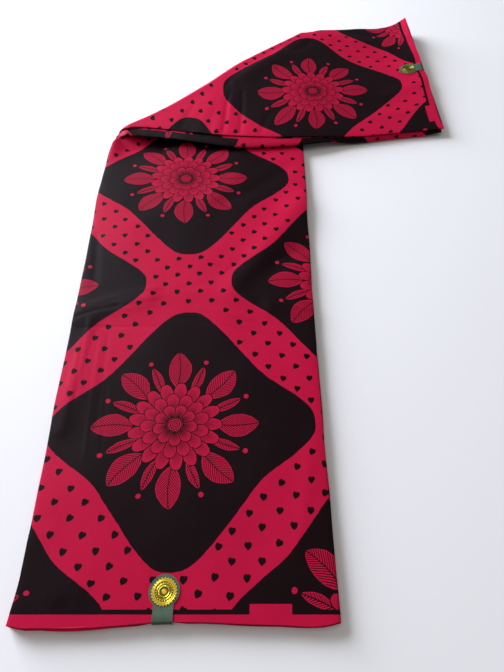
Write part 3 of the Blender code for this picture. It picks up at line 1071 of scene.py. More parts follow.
def shell(
    name: str, rows: Places, ring: Ring, radius: float,
    place: Callable[[Places, Places, Places, Places], Places],
    print_at: Callable[[Places, Places, Places], Places],
) -> Piece:
    """A closed thin shell: a section carried along the rows, with both ends capped.

    Args:
        name: The piece's name.
        rows: Row values, passed on to both functions.
        ring: The cross-section.
        radius: Half of the shell's thickness.
        place: Gives the points for row, place across, level and way out sideways.
        print_at: Gives the cloth's coordinates for row, place across and way out sideways.

    Returns:
        The piece, with its cloth map and its bake map.
    """
    across, level, out = ring.parts(STRIP.width, radius)
    count, steps = len(rows), len(across)
    row_grid, across_grid = np.meshgrid(rows, across, indexing="ij")
    level_grid = np.broadcast_to(level, row_grid.shape)
    out_grid = np.broadcast_to(out, row_grid.shape)
    points = place(row_grid, across_grid, level_grid, out_grid).reshape(-1, 3)
    maps = print_at(row_grid, across_grid, out_grid)
    piece = Piece(name, points)
    number = np.arange(count * steps).reshape(count, steps)
    closed = np.concatenate((number, number[:, :1]), axis=1)
    cells = quads(closed)[:, ::-1]
    at_row, at_step = np.divmod(cells, steps)
    wrapped = (at_step == 0) & (at_step.max(axis=1, keepdims=True) == steps - 1)
    # The picture holds the top in two halves side by side, and the rest in a narrow strip each.
    top_share = 0.93
    along_step = np.arange(steps + 1, dtype=float)
    flat = np.where(
        along_step < ring.columns, along_step / (ring.columns - 1) * top_share,
        top_share + (along_step - ring.columns + 1) / (steps - ring.columns + 1) * (1.0 - top_share),
    )
    share = flat[np.where(wrapped, steps, at_step)]
    middle = count // 2
    lower = at_row.max(axis=1, keepdims=True) <= middle
    row_share = np.where(lower, at_row / middle, (at_row - middle) / (count - 1 - middle))
    bake_u = 0.01 + 0.48 * share + np.where(lower, 0.0, 0.50)
    bake_v = 0.02 + 0.97 * row_share
    piece.add(cells, maps[at_row, at_step], np.stack((bake_u, bake_v), axis=-1))
    for end, (row, turned) in enumerate(((0, False), (count - 1, True))):
        cap = number[row][::-1] if turned else number[row]
        order = cap - row * steps
        cap_u = 0.05 + 0.40 * across[order] / STRIP.width + 0.5 * end
        cap_v = 0.004 + 0.008 * level[order]
        piece.add(cap[None, :], maps[row, order], np.stack((cap_u, cap_v), axis=-1))
    return piece


@dataclass
class LayeredBlock:
    """A block of hidden layers whose sides show each fold, and whose end shows each edge."""

    name: str
    label: float
    seed: float = 0.0
    folds: int = 9
    leaves: int = 18
    fold_out: float = 0.45 * MM
    fold_wander: float = 1.0 * MM
    leaf_wander: float = 1.1 * MM
    groove: float = 0.9 * MM
    pressed: float = 0.8 * MM

    def levels(self) -> Places:
        """Heights from 0 to 1: three for each layer, close together at its groove."""
        steps = np.array([0.0, 0.16, 0.58])
        return np.append((np.arange(self.leaves)[:, None] + steps).ravel() / self.leaves, 1.0)

    def wander(self, number: Places, place: Places) -> Places:
        """A slow uneven drift from -1 to 1 along an edge, different for each layer."""
        rows = ((17.0, 2.399, 0.0, 1.0), (43.0, 4.12, 1.0, 0.6), (96.0, 1.71, 2.0, 0.25))
        return waves(rows, place, number) / sum(row[-1] for row in rows)

    def fold_edge(self, level: Places, place: Places) -> Places:
        """How far a long side stands out: a row of round folds, sqrt(sin) in section.

        Args:
            level: Height from 0 to 1.
            place: Place along the side.

        Returns:
            The distance outwards.
        """
        at = np.clip(level, 0.0, 0.9999) * self.folds
        number = np.floor(at)
        bulge = np.sqrt(np.sin(np.pi * (at - number)))
        drift = self.fold_wander * self.wander(number, place)
        return drift + self.fold_out * bulge - self.groove * (1.0 - bulge)

    def leaf_edge(self, level: Places, place: Places) -> Places:
        """How far the selvedge end stands out: thin flat edges with a groove below each.

        Args:
            level: Height from 0 to 1.
            place: Place along the end.

        Returns:
            The distance outwards.
        """
        at = np.clip(level, 0.0, 0.9999) * self.leaves
        number = np.floor(at + 0.01)
        inset = np.where(at - number < 0.02, self.groove, 0.0)
        return self.leaf_wander * self.wander(number + 31.0, place) - inset

    def end_edge(self, level: Places, across: Places, peek: Places | float = 0.0) -> Places:
        """How far the selvedge end stands out, with its layers pressed together at the label.

        Args:
            level: Height from 0 to 1.
            across: Places across the strip.
            peek: How much further than usual the layers stand out.

        Returns:
            The distance outwards.
        """
        clear = 1.0 - bell(across - self.label, STRIP.pinch_spread, 4)
        return (self.leaf_edge(level, across + self.seed) + peek) * clear - self.pressed * (1.0 - clear)

    def build(
        self, columns: Places, rows: Places, place: Callable[[Places, Places, Places], Places],
        print_at: Callable[[Places, Places], Places],
    ) -> Piece:
        """Build the block from the outside of a grid of columns, rows and levels.

        Args:
            columns: Places across the strip.
            rows: Places along it.
            place: Gives the points for column, row and level.
            print_at: Gives the cloth's coordinates for column and row.

        Returns:
            The piece with its cloth map.
        """
        levels = self.levels()
        u, v, w = np.meshgrid(columns, rows, levels, indexing="ij")
        points = place(u, v, w).reshape(-1, 3)
        maps = print_at(u, v).reshape(-1, 2)
        number = np.arange(u.size).reshape(u.shape)
        # Of each side: its grid, whether it is turned, and the cloth's place on a long side.
        sides = (
            (number[:, :, -1], False, None), (number[:, :, 0], True, None),
            (number[-1], False, STRIP.width), (number[0], True, 0.0),
            (number[:, 0], False, None), (number[:, -1], True, None),
        )
        used = np.unique(np.concatenate([side.ravel() for side, _, _ in sides]))
        renumber = np.zeros(u.size, dtype=int)
        renumber[used] = np.arange(len(used))
        piece = Piece(self.name, points[used])
        height = w.reshape(-1)
        for side, turned, start in sides:
            cells = quads(side)
            cells = cells[:, ::-1] if turned else cells
            cloth = maps[cells].copy()
            if start is not None:
                # Each fold at a long side is another part of the cloth's length.
                level = height[cells].mean(axis=1)
                fold = np.floor(level * self.folds)
                up = (height[cells] - level[:, None]) * STRIP.thick
                cloth[..., 0] = start + (fold * 2.0 * STRIP.width)[:, None] + up
            piece.add(renumber[cells], cloth)
        return piece


@dataclass
class Run:
    """What the strip's two runs have in common.

    The slow creases are in the solids too, and the fine ones are only here.
    """

    end: End
    columns: int
    rows: int
    slow: tuple[Crease, ...]
    fine: tuple[Crease, ...]
    half_thick: float = 0.5 * MM
    split_turn: float = math.radians(1.0)
    block_columns: int = 42
    bend_rows: int = 14

    def raised(self, x: Places, y: Places) -> Places:
        """How far creases and looseness raise the upper surface at places on the strip."""
        return sum(crease.lift(x, y) for crease in self.slow + self.fine) + STRIP.sway(x, y)


@dataclass
class NearRun(Run):
    """The near run: its top panel and the layers below it."""

    end: End = End.NEAR
    columns: int = 165
    rows: int = 430
    slow: tuple[Crease, ...] = (
        Crease(0, 322, 85, 352, 1.6, 10), Crease(120, 366, 230, 340, 1.0, 12),
        Crease(235, 338, 290, 333, 1.4, 7), Crease(195, 372, 284, 520, 3.0, 15),
        Crease(14, 180, 22, 315, 0.9, 6), Crease(100, 590, 190, 610, 1.2, 14),
    )
    fine: tuple[Crease, ...] = (
        Crease(-4, 318, 52, 340, -0.5, 2.2, 2), Crease(10, 336, 92, 366, 0.3, 3.2, 4),
        Crease(60, 357, 150, 372, -0.2, 3.5, -3), Crease(226, 336, 290, 328, -0.5, 2.6, 2),
        Crease(205, 352, 286, 348, 0.3, 4.0), Crease(20, 200, 29, 300, -0.2, 1.8),
        Crease(10, 215, 17, 300, 0.18, 1.6), Crease(206, 368, 286, 440, -1.5, 10.0, 4),
        Crease(180, 520, 262, 588, -0.9, 8.0, -4), Crease(8, 455, 17, 375, -0.6, 4.2),
        Crease(22, 215, 16, 320, -0.28, 1.6, 1), Crease(43, 150, 38, 285, 0.22, 1.6, 1),
        Crease(50, 180, 45, 300, -0.22, 1.5), Crease(59, 155, 53, 235, -0.2, 1.8),
        Crease(4, 72, 40, 22, 0.7, 5.0), Crease(24, 78, 60, 30, 0.5, 6.0),
        Crease(10, 307, 100, 309, -0.28, 1.6, 1), Crease(42, 335, 100, 347, -0.26, 1.8),
        Crease(127, 322, 225, 296, -0.26, 1.8, 2), Crease(150, 336, 210, 322, 0.35, 3.0),
        Crease(150, 520, 215, 600, 0.6, 9.0), Crease(40, 470, 110, 520, 0.4, 15.0),
        Crease(60, 120, 200, 100, 0.5, 22.0), Crease(140, 250, 250, 210, 0.5, 20.0),
        Crease(255, 60, 275, 180, 0.4, 6.0),
    )
    goes_in: float = 0.985
    goes_flat: Span = (0.965, 1.0)
    under_left: Span = (0.028, 0.045)
    under_along: Span = (-0.034, -0.020)
    middle: Span = (0.144, 0.300)
    side_skew: Span = (0.026, 0.075)
    along_skew: Span = (-0.031, 0.085)
    rim_reach: float = 14.0 * MM
    peek: float = 1.6 * MM
    block_rows: int = 240

    @property
    def top(self) -> float:
        """The height of the upper surface where nothing moves it."""
        return STRIP.thick + STRIP.gap + STRIP.wall

    def lift(self, across: Places, along: Places) -> Places:
        """How far creases, the mouth and the edges move the upper surface.

        Args:
            across: Places across the strip.
            along: Places along it, 0 at the selvedge and 1 at the turn.

        Returns:
            The change of height.
        """
        x, y = STRIP.near_place(across, along)
        covered = ease(*self.under_left, x) * ease(*self.under_along, y - STRIP.lower_edge.at(x))
        inside = 1.0 - ease(*self.goes_flat, along)
        mouth = STRIP.rim(x, y) - STRIP.hollow(x, y)
        return (self.raised(x, y) * (1.0 - covered) + mouth) * inside - STRIP.sink(across)

    def surface(self, across: Places, reach: Places) -> Places:
        """Points on the upper surface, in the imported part's frame.

        Args:
            across: Places across the strip.
            reach: Distances in from the selvedge.

        Returns:
            The points.
        """
        edge = STRIP.near_edge.at(across)
        end_y = STRIP.bend(across, np.zeros_like(across), STRIP.bend_centre)[1]
        z = self.top + self.lift(across, np.maximum(reach, 0.0) / (end_y - edge))
        return STRIP.to_frame(across, edge + reach, z)

    def cloth_at(self, across: Places, along: Places) -> Places:
        """The cloth's coordinates: the place on the strip, skewed a little by uneven folding.

        Each skew is a d + b d^2, d being the distance from the panel's middle.

        Args:
            across: Places across the strip.
            along: Places along it, 0 at the selvedge and 1 at the turn.

        Returns:
            The cloth's two coordinates.
        """
        _, y = STRIP.near_place(across, along)
        off_x, off_y = across - self.middle[0], y - self.middle[1]
        side = STRIP.drawn_in(across, y) + self.side_skew[0] * off_y + self.side_skew[1] * off_y ** 2
        skew = self.along_skew[0] * off_x + self.along_skew[1] * off_x ** 2
        return np.stack((across + side, y + skew * ease(*PRINT.edge_blend, y)), axis=-1)

    def panel(self) -> Piece:
        """The top panel: a shell 1 mm thick with both long edges folded round.

        Returns:
            The piece.
        """

        def place(along: Places, across: Places, level: Places, out: Places) -> Places:
            """The upper surface, less the thickness below the top, moved out at the edges.

            Args:
                along: Places along the run, 0 at the selvedge and 1 at the turn.
                across: Places across the strip.
                level: From 0 below to 1 on top.
                out: The way out sideways.

            Returns:
                The points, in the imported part's frame.
            """
            x, y = STRIP.near_place(across, along)
            z = self.top + self.lift(across, along) - 2.0 * self.half_thick * (1.0 - level)
            y = y + self.rim_reach * bell(across, 0.014) * ease(0.90, 1.0, along)
            return STRIP.to_frame(x + out, y, z)

        def print_at(along: Places, across: Places, out: Places) -> Places:
            """The cloth's coordinates, which run on round the folded edges."""
            return self.cloth_at(across + out, along)

        rows = np.linspace(0.0, self.goes_in, self.rows)
        return shell("near_cloth", rows, Ring(self.columns), self.half_thick, place, print_at)

    def layers(self) -> Piece:
        """The hidden layers of the near run and of the turn's lower half.

        Returns:
            The piece.
        """
        block = LayeredBlock("near_folded_layers", STRIP.near_label)

        def place(across: Places, row: Places, level: Places) -> Places:
            """Flat layers up to row 1, then round the turn to its middle at row 2.

            Args:
                across: Places across the strip.
                row: Places along the run.
                level: From 0 below to 1 on top.

            Returns:
                The points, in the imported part's frame.
            """
            turn = np.clip(row - 1.0, 0.0, 1.0) * (math.pi / 2.0 - self.split_turn)
            x, y = STRIP.near_place(across, np.clip(row, 0.0, 1.0))
            z = (STRIP.thick - STRIP.sink(across) - STRIP.hollow(x, y)) * level
            bent = STRIP.bend(across, turn, STRIP.bend_centre - STRIP.thick * level)
            x, y, z = (np.where(row > 1.0, b, flat) for b, flat in zip(bent, (x, y, z)))
            out = block.fold_edge(level, y) * (1.0 - ease(0.97, 1.0, row))
            inner = (across > NEARLY) & (across < STRIP.width - NEARLY)
            x = x + np.where(inner, 0.0, np.where(across < NEARLY, -out, out))
            jut = block.end_edge(level, across, self.peek * bell(across - 0.055, 0.045) * (level > 0.70))
            return STRIP.to_frame(x, y - np.where(row < NEARLY, jut, 0.0), z)

        def print_at(across: Places, row: Places) -> Places:
            """The cloth's coordinates at the block's outside."""
            past = math.pi / 2.0 * np.clip(row - 1.0, 0.0, 1.0)
            return self.cloth_at(across, np.clip(row, 0.0, 1.0)) - STRIP.round_turn(past)

        columns = np.linspace(0.0, STRIP.width, self.block_columns)
        rows = (np.linspace(0.0, 1.0, self.block_rows), np.linspace(1.0, 2.0, self.bend_rows)[1:])
        return block.build(columns, np.concatenate(rows), place, print_at)


@dataclass
class RightRun(Run):
    """The right run: its top panel, which comes up round the turn, and the layers below it."""

    end: End = End.RIGHT
    columns: int = 150
    rows: int = 290
    slow: tuple[Crease, ...] = (
        Crease(150, 735, 130, 655, 0.7, 8), Crease(175, 735, 160, 652, 0.5, 7),
        Crease(200, 805, 262, 870, 2.2, 14), Crease(330, 930, 415, 915, 1.4, 12),
        Crease(430, 760, 500, 800, 1.2, 10),
    )
    fine: tuple[Crease, ...] = (
        Crease(173, 790, 168, 655, -1.0, 2.8, 2), Crease(183, 780, 178, 655, 0.3, 4.0),
        Crease(196, 755, 194, 655, -0.9, 2.7, 1), Crease(160, 735, 156, 655, 0.25, 3.4),
        Crease(238, 700, 226, 656, -0.6, 4.0), Crease(120, 720, 105, 668, -0.5, 4.0),
        Crease(250, 840, 340, 900, 0.8, 12.0), Crease(390, 700, 470, 725, 0.5, 8.0),
        Crease(440, 860, 492, 850, -0.7, 6.0), Crease(455, 900, 488, 925, 0.8, 6.0),
        Crease(300, 780, 400, 770, 0.5, 20.0),
    )
    turn_rows: int = 26
    start_turn: float = math.radians(36.0)
    first_column: float = 0.0045
    centre_across: float = 0.1210
    centre_x: float = 0.309
    past_centre: float = 0.96
    block_rows: int = 170
    lower_reach: Curve = Curve((
        (90, 74.4), (150, 72.5), (210, 77.1), (309, 110.7), (400, 105.7), (500, 133.2),
    ))
    upper_reach: Curve = Curve((
        (90, 163.2), (150, 140.2), (210, 135.4), (309, 158.5), (400, 174.4), (500, 185.3),
    ))

    def surface(self, across: Places, reach: Places) -> Places:
        """Points on the upper surface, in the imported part's frame.

        Args:
            across: Places across the strip.
            reach: Distances in from the selvedge.

        Returns:
            The points.
        """
        x = STRIP.right_end(across) - reach
        y = STRIP.lower_edge.at(x) + across
        return STRIP.to_frame(x, y, STRIP.far_top(across, x) + self.raised(x, y))

    def cloth_at(self, across: Places, x: Places) -> Places:
        """The cloth's coordinates, stretched across so that the print meets both edges as shown.

        Args:
            across: Places across the strip.
            x: Places along x.

        Returns:
            The cloth's two coordinates.
        """
        middle = self.centre_across
        below = -self.lower_reach.at(x) * (1.0 - across / middle)
        moved = across + STRIP.drawn_out(across, x)
        above = self.upper_reach.at(x) * (moved - middle) / (STRIP.width - middle)
        side = PRINT.centre_across + Diamond.shift + np.where(across < middle, below, above)
        past = x - self.centre_x
        past = past * np.where(past < 0.0, 1.0, self.past_centre)
        along = PRINT.centre_along + 2.0 * PRINT.repeat_along + past
        to_end = STRIP.right_end(across) - x
        at_edge = 1.0 - ease(*PRINT.edge_blend, to_end)
        return np.stack((side, along + (PRINT.full_along - to_end - along) * at_edge), axis=-1)

    def run_place(
        self, across: Places, row: Places, lower: Places, upper: Places, level: Places, radius: Places,
    ) -> Three:
        """A point of the run at row 0 to 1, or of the turn below row 0.

        Args:
            across: Places across the strip.
            row: 0 at the turn's end and 1 at the selvedge; -1 is the turn's start.
            lower: The lower surface's height.
            upper: The upper surface's height.
            level: From 0 at the lower surface to 1 at the upper one.
            radius: The distance from the turn's centre line, in the turn.

        Returns:
            The point's x, y and z on the strip.
        """
        x, y, near_turn = STRIP.far_place(across, np.clip(row, 0.0, 1.0))
        flat = STRIP.bend_centre + radius
        z = (lower + (upper - lower) * level) * (1.0 - near_turn) + flat * near_turn
        turn = math.pi * (1.0 + np.clip(row, -1.0, 0.0))
        bend_x, bend_y, bend_z = STRIP.bend(across, turn, radius)
        bent = row < 0.0
        return np.where(bent, bend_x, x), np.where(bent, bend_y, y), np.where(bent, bend_z, z)

    def panel(self) -> Piece:
        """The top panel: a shell 1 mm thick that comes up round the outside of the turn.

        Returns:
            The piece.
        """

        def place(row: Places, across: Places, level: Places, out: Places) -> Places:
            """The layers' upper side, a gap and the wall, with the creases on top.

            Args:
                row: Places along the run, below 0 in the turn and 1 at the selvedge.
                across: Places across the strip.
                level: From 0 below to 1 on top.
                out: The way out sideways.

            Returns:
                The points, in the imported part's frame.
            """
            x, y, near_turn = STRIP.far_place(across, np.clip(row, 0.0, 1.0))
            sunk = STRIP.wall - 2.0 * self.half_thick * (1.0 - level)
            top = STRIP.far_top(across, x) - STRIP.wall + self.raised(x, y) * (1.0 - near_turn) + sunk
            radius = STRIP.bend_centre + STRIP.gap + sunk
            px, py, pz = self.run_place(across, row, top, top, level, radius)
            return STRIP.to_frame(px, py + out, pz)

        def print_at(row: Places, across: Places, out: Places) -> Places:
            """The cloth's coordinates, which run on round the turn and the edges."""
            x, _, _ = STRIP.far_place(across, np.clip(row, 0.0, 1.0))
            return self.cloth_at(across + out, x) + STRIP.round_turn(-math.pi * np.clip(row, -1.0, 0.0))

        start = self.start_turn / math.pi - 1.0
        rows = (np.linspace(start, 0.0, self.turn_rows)[:-1], np.linspace(0.0, 1.0, self.rows))
        return shell(
            "right_cloth", np.concatenate(rows), Ring(self.columns), self.half_thick, place, print_at,
        )

    def layers(self) -> Piece:
        """The hidden layers of the right run and of the turn's upper half.

        Returns:
            The piece.
        """
        block = LayeredBlock("right_folded_layers", STRIP.far_label, seed=0.9)

        def place(across: Places, row: Places, level: Places) -> Places:
            """Round the turn's upper half below row 0, then flat layers to the selvedge.

            Args:
                across: Places across the strip.
                row: Places along the run, 1 at the selvedge.
                level: From 0 below to 1 on top.

            Returns:
                The points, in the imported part's frame.
            """
            x, _, _ = STRIP.far_place(across, np.clip(row, 0.0, 1.0))
            upper = STRIP.far_top(across, x) - STRIP.wall - STRIP.gap
            half_turn = np.where(row < 0.0, row * (0.5 - self.split_turn / math.pi), row)
            radius = STRIP.bend_centre - STRIP.thick * (1.0 - level)
            base = STRIP.far_base(x) + STRIP.end_rise(x) * (1.0 - ease(0.010, 0.080, across))
            px, py, pz = self.run_place(across, half_turn, base, upper, level, radius)
            out = block.fold_edge(level, px) * ease(0.02, 0.06, row)
            py = py + np.where(across > STRIP.width - NEARLY, out, 0.0)
            jut = block.end_edge(level, across)
            return STRIP.to_frame(px + np.where(row > 1.0 - NEARLY, jut, 0.0), py, pz)

        def print_at(across: Places, row: Places) -> Places:
            """The cloth's coordinates at the block's outside."""
            x, _, _ = STRIP.far_place(across, np.clip(row, 0.0, 1.0))
            return self.cloth_at(across, x) + STRIP.round_turn(-math.pi / 2.0 * np.clip(row, -1.0, 0.0))

        columns = np.linspace(self.first_column, STRIP.width, self.block_columns)
        rows = (np.linspace(-1.0, 0.0, self.bend_rows)[:-1], np.linspace(0.0, 1.0, self.block_rows))
        return block.build(columns, np.concatenate(rows), place, print_at)


@dataclass
class LowerFolds:
    """The folded edges of the next panels, which stand out below the right run's lower edge."""

    steps: int = 300
    around: int = 64
    start: float = 0.006
    back: float = 3.8 * MM
    slant: float = 22.0 * MM
    tip_sink: float = 5.5 * MM
    clear: float = 2.6 * MM
    groove_deep: float = 1.6 * MM
    sag: float = 0.16
    upper_side: float = 0.062
    upper_share: float = 0.075
    centre_x: float = 0.335
    reach: Curve = Curve((
        (6, 0.5), (14, 8.0), (24, 14.0), (38, 16.0), (50, 16.5), (70, 16.0), (110, 15.5), (134, 16.0),
        (157, 17.5), (180, 19.0), (200, 19.0), (250, 15.5), (290, 12.0), (330, 7.5), (390, 4.5),
        (470, 4.0), (507, 4.5),
    ))
    side: Curve = Curve((
        (6, 150.0), (18, 153.0), (40, 153.5), (55, 164.0), (70, 160.0), (85, 142.0), (105, 112.0),
        (130, 98.0), (160, 88.0), (190, 86.0), (250, 90.0), (285, 93.0), (504, 93.0),
    ))

    def build(self) -> Piece:
        """A round bar of folds: half an ellipse, with two grooves along it.

        Returns:
            The piece.
        """
        xs = self.start + np.linspace(0.0, 1.0, self.steps) * (STRIP.right - self.start - STRIP.gap)
        x, v = np.meshgrid(xs, np.linspace(0.0, 1.0, self.around), indexing="ij")
        top = STRIP.far_top(np.zeros_like(x), x) - STRIP.wall - 2.0 * STRIP.gap
        top = top - self.tip_sink * (1.0 - ease(self.start, 0.024, x))
        clear = self.clear * ease(0.004, 0.022, x) * (1.0 - ease(0.130, 0.210, x))
        low = STRIP.far_base(x) + STRIP.gap + clear + STRIP.end_rise(x)
        angle = math.pi * (0.02 + 0.96 * v)
        line = 0.03 * np.sin(x * 31.0)
        grooves = bell(v - 0.72 - line, 0.035) + 1.6 * bell(v - 0.115 - 0.2 * line, 0.020)
        reach = self.reach.at(x) + self.back
        out = reach * np.sin(angle) ** 0.8 - self.groove_deep * grooves * np.sin(angle)
        middle = (top + low) / 2.0
        z = middle + (top - low) / 2.0 * (np.cos(angle) - self.sag * np.sin(angle) ** 2)
        back_y = STRIP.lower_edge.at(x) + self.back
        outer = STRIP.to_frame(x, back_y - out, z)
        ends = STRIP.to_frame(xs, back_y[:, 0], middle[:, 0])
        number = np.arange(x.size).reshape(x.shape)
        spine = x.size + np.arange(self.steps)[:, None]
        hidden = np.where(v < self.upper_share, self.upper_side, self.side.at(x) - self.slant * (v - 0.3))
        side = PRINT.centre_across + Diamond.shift - hidden
        along = PRINT.centre_along + 2.0 * PRINT.repeat_along + x - self.centre_x
        flat = np.stack((side, along), axis=-1).reshape(-1, 2)
        maps = np.concatenate((flat, flat[number[:, 0]]))
        piece = Piece("lower_edge_cloth", np.concatenate((outer.reshape(-1, 3), ends)))
        piece.add_grid(np.concatenate((number, spine, number[:, :1]), axis=1), maps)
        for row, turned in ((0, False), (-1, True)):
            cap = np.append(number[row], spine[row])
            cap = cap[::-1] if turned else cap
            piece.add(cap[None, :], maps[cap])
        return piece


@dataclass
class Label:
    """A green paper label folded over a selvedge, with a foil seal on its round head."""

    side: str
    run: NearRun | RightRun
    centre: float
    half: float = 9.0 * MM
    head: float = 13.8 * MM
    reach: float = 24.4 * MM
    paper: float = 0.35 * MM
    lift: float = 0.5 * MM
    foot: float = 4.0 * MM
    fold_out: float = 1.2 * MM
    radius: float = 12.2 * MM
    seal_in: float = 0.7 * MM
    seal_edge: float = 0.12 * MM
    seal_foot: float = 0.02 * MM
    foil: float = 0.5 * MM
    teeth: int = 26
    rings: int = 64

    def strip_half(self, reach: Places) -> Places:
        """Half the label's width: a strip of width 2 half that ends in a disc."""
        disc = np.sqrt(np.maximum(self.head ** 2 - (reach - self.reach) ** 2, 0.0))
        return np.where(reach < self.reach, np.maximum(disc, self.half), disc)

    def paper_piece(self) -> Piece:
        """The paper: a thin wall over the cloth, over the selvedge and down its edge.

        Returns:
            The piece.
        """
        tip = self.reach + self.head * 0.9995
        tops = tip * (1.0 - np.linspace(0.0, 1.0, 90) ** 1.15)
        falls = np.linspace(0.0, 1.0, 26)[1:]
        reach, sides = np.meshgrid(np.append(tops, 0.0 * falls), np.linspace(-1.0, 1.0, 41), indexing="ij")
        drop = np.broadcast_to(np.append(0.0 * tops, falls)[:, None], reach.shape)
        across = self.centre + sides * self.strip_half(reach)
        axis, outward = self.run.end.value
        lean = np.minimum(drop * 4.0, 1.0)
        inner = self.run.surface(across, reach)
        high = inner[..., 2] + self.lift
        inner[..., axis] += outward * self.fold_out * np.sin(lean * math.pi / 2.0)
        inner[..., 2] = high + (self.foot - high) * drop ** 1.3
        outer = inner.copy()
        outer[..., 2] += self.paper * (1.0 - lean)
        outer[..., axis] += outward * self.paper * lean
        number = np.arange(reach.size).reshape(reach.shape)
        below = number + number.size
        maps = np.tile(np.stack((across, reach), axis=-1).reshape(-1, 2), (2, 1))
        points = np.concatenate((outer.reshape(-1, 3), inner.reshape(-1, 3)))
        piece = Piece(f"{self.side}_label_paper", points)
        near = self.run.end is End.NEAR
        rims = (
            (number[0], below[0]), (below[-1], number[-1]),
            (below[:, 0], number[:, 0]), (number[:, -1], below[:, -1]),
        )
        for grid, turned in ((number, False), (below, True), *((np.stack(rim), False) for rim in rims)):
            piece.add_grid(grid, maps, turned == near)
        return piece

    def emboss(self, share: Places, angle: Places) -> Places:
        """The foil's relief from 0 to 1: rings, rays, a row of beads and a plain boss.

        Args:
            share: Distance from the seal's middle, 1 at its rim.
            angle: Angle round it.

        Returns:
            The height as a share of the foil's relief.
        """
        rings = sum(bell(share - at, 0.034) for at in (0.36, 0.53))
        band = ease(0.655, 0.70, share) * (1.0 - 0.45 * bell(share - 0.80, 0.018))
        rays = band * (share > 0.83) * (0.5 - 0.5 * np.cos(angle * self.teeth)) * 0.35
        beads = bell(share - 0.615, 0.030) * (0.5 + 0.5 * np.cos(angle * 22.0)) ** 1.5
        flutes = (share > 0.36) * (share < 0.44) * (0.5 + 0.5 * np.cos(angle * 24.0)) * 0.6
        boss = 0.9 * bell(share, 0.19, 4)
        return np.clip(rings + band - rays + beads + flutes + boss, 0.0, 1.15)

    def on_head(self, radius: Places, angle: Places, height: Places | float) -> Places:
        """Points over the label's head.

        Args:
            radius: Distances from the seal's middle.
            angle: Angles round it.
            height: Heights above the paper.

        Returns:
            The points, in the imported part's frame.
        """
        across = self.centre + radius * np.cos(angle)
        place = self.run.surface(across, self.reach - self.seal_in + radius * np.sin(angle))
        place[..., 2] += self.lift + self.paper + height
        return place

    def seal_piece(self) -> Piece:
        """The foil seal: a disc with saw teeth and raised relief, on the label's head.

        Returns:
            The piece.
        """
        turns = self.teeth * 12
        shares = np.linspace(0.0, 1.0, self.rings + 1)[1:]
        share, angle = np.meshgrid(shares, np.arange(turns) * TAU / turns, indexing="ij")
        tooth = np.abs((angle * self.teeth / TAU) % 1.0 - 0.5) * 2.0
        radius = self.radius * share * (1.0 - 0.13 * tooth * ease(0.78, 1.0, share))
        relief = self.emboss(share, angle)
        zero = np.zeros(1)
        points = np.concatenate((
            self.on_head(radius, angle, self.seal_edge + self.foil * relief * (1.0 - ease(0.97, 1.0, share))),
            self.on_head(radius[-1:], angle[-1:], self.seal_foot),
        )).reshape(-1, 3)
        middle = self.on_head(zero, zero, self.seal_edge + self.foil * self.emboss(zero, zero))
        foot = self.on_head(zero, zero, self.seal_foot)
        points = np.concatenate((points, middle, foot))
        depth = np.concatenate((relief.ravel(), np.zeros(turns), [1.0, 0.0]))
        piece = Piece(f"{self.side}_seal_foil", points, depth)
        number = np.arange((self.rings + 1) * turns).reshape(-1, turns)
        maps = points[:, :2]
        near = self.run.end is End.NEAR
        piece.add_grid(np.concatenate((number, number[:, :1]), axis=1), maps, not near)
        for centre, ring, turned in ((-2, number[0], False), (-1, number[-1], True)):
            centres = np.full(turns, len(points) + centre)
            fan = np.stack((centres, ring, np.roll(ring, -1)), axis=-1)
            fan = fan[:, ::-1] if turned == near else fan
            piece.add(fan, maps[fan])
        return piece

    def build(self, paper: Material, foil: Material) -> list[bpy.types.Object]:
        """Build the label and its seal.

        Args:
            paper: The label's finish.
            foil: The seal's finish.

        Returns:
            The two objects.
        """
        label = self.paper_piece().make(paper, Slot.PAPER, f"{self.side}_label")
        return [label, self.seal_piece().make(foil, Slot.FOIL, f"{self.side}_seal")]


@dataclass(frozen=True)
class Lamp:
    """One square soft light."""

    name: str
    at: tuple[float, float, float]
    to: tuple[float, float, float]
    size: float
    watts: float
    colour: str

    def build(self) -> None:
        """Add the light, turned towards its place."""
        light = bpy.data.lights.new(self.name, "AREA")
        light.size = self.size
        light.energy = self.watts
        light.color = linear(self.colour)[:3]
        holder = add_object(self.name, light)
        holder.location = self.at
        holder.rotation_euler = Vector(np.subtract(self.at, self.to)).to_track_quat("Z", "Y").to_euler()


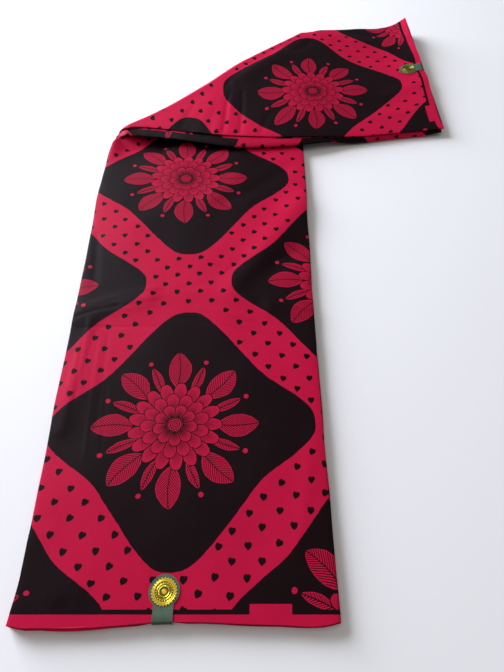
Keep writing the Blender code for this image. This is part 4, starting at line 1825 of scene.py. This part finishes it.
@dataclass(frozen=True)
class Studio:
    """A pale floor, soft light and the camera that saw the cloth."""

    camera_at: tuple[float, float, float] = (0.2119, -0.0447, 0.533)
    pitch: float = 56.9
    lens: float = 28.93
    floor_colour: str = "f4f4f4"
    floor_half: float = 6.0
    floor_top: float = -0.2 * MM
    sky: float = 0.20
    lamps: tuple[Lamp, ...] = (
        Lamp("window", (-2.05, 1.50, 1.06), (-0.05, 0.0, 0.0), 1.9, 180.0, "eef2ff"),
        Lamp("ceiling", (-0.10, -0.30, 2.0), (-0.05, -0.1, 0.0), 1.8, 7.0, "fff6ee"),
    )

    def build(self) -> None:
        """Make the camera, the lights, the sky and the floor."""
        scene = bpy.context.scene
        camera = bpy.data.cameras.new("camera")
        camera.lens = self.lens
        camera.sensor_width = 36.0
        scene.camera = add_object("camera", camera)
        scene.camera.location = STRIP.to_frame(*self.camera_at)
        scene.camera.rotation_euler = (math.radians(90.0 - self.pitch), 0.0, 0.0)
        for lamp in self.lamps:
            lamp.build()
        scene.world = bpy.data.worlds.new("studio")
        scene.world.use_nodes = True
        tree = scene.world.node_tree
        feed(tree, tree.nodes["Background"], {"Color": linear("ffffff"), "Strength": self.sky})
        scene.view_settings.view_transform = "Standard"
        mesh = bpy.data.meshes.new("floor")
        corners = [(x * self.floor_half, y * self.floor_half, self.floor_top) for x, y in FLOOR_CORNERS]
        mesh.from_pydata(corners, [], [(0, 1, 2, 3)])
        material, tree, shader = new_material("pale floor")
        matt = {"Base Color": linear(self.floor_colour), "Roughness": 0.9, "Specular IOR Level": 0.1}
        feed(tree, shader, matt)
        mesh.materials.append(material)
        add_object("floor", mesh)


def main() -> None:
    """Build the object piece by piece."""
    logging.basicConfig(level=logging.INFO, format="%(name)s: %(message)s")
    Studio().build()
    near_print = WaxPrintCotton("wax print cotton near", Selvedge(0.2270, End.NEAR)).make()
    far_selvedge = Selvedge(0.0470, End.RIGHT, box_half=21.0 * MM)
    far_print = WaxPrintCotton("wax print cotton right", far_selvedge, Hearts(squash=1.12)).make()
    near, right = NearRun(), RightRun()
    near_cloth = near.panel().make(near_print, Slot.PRINT, "near_panel")
    near_layers = near.layers().make(near_print, Slot.LAYERS, "near_layers")
    right_cloth = right.panel().make(far_print, Slot.PRINT, "far_panel")
    right_layers = right.layers().make(far_print, Slot.LAYERS, "far_layers")
    lower = LowerFolds().build().make(far_print, Slot.PRINT, "lower_edge_folds")
    paper = LabelPaper().make()
    near_trim = Label("near", near, STRIP.near_label).build(paper, SealFoil("seal foil near").make())
    # The right seal's foil is given darker gold and darker hollows than the near seal's.
    darker_foil = SealFoil("seal foil right", gold="8f8a36", hollow="3d4426").make()
    far_trim = Label("far", right, STRIP.far_label).build(paper, darker_foil)


if __name__ == "__main__":
    main()
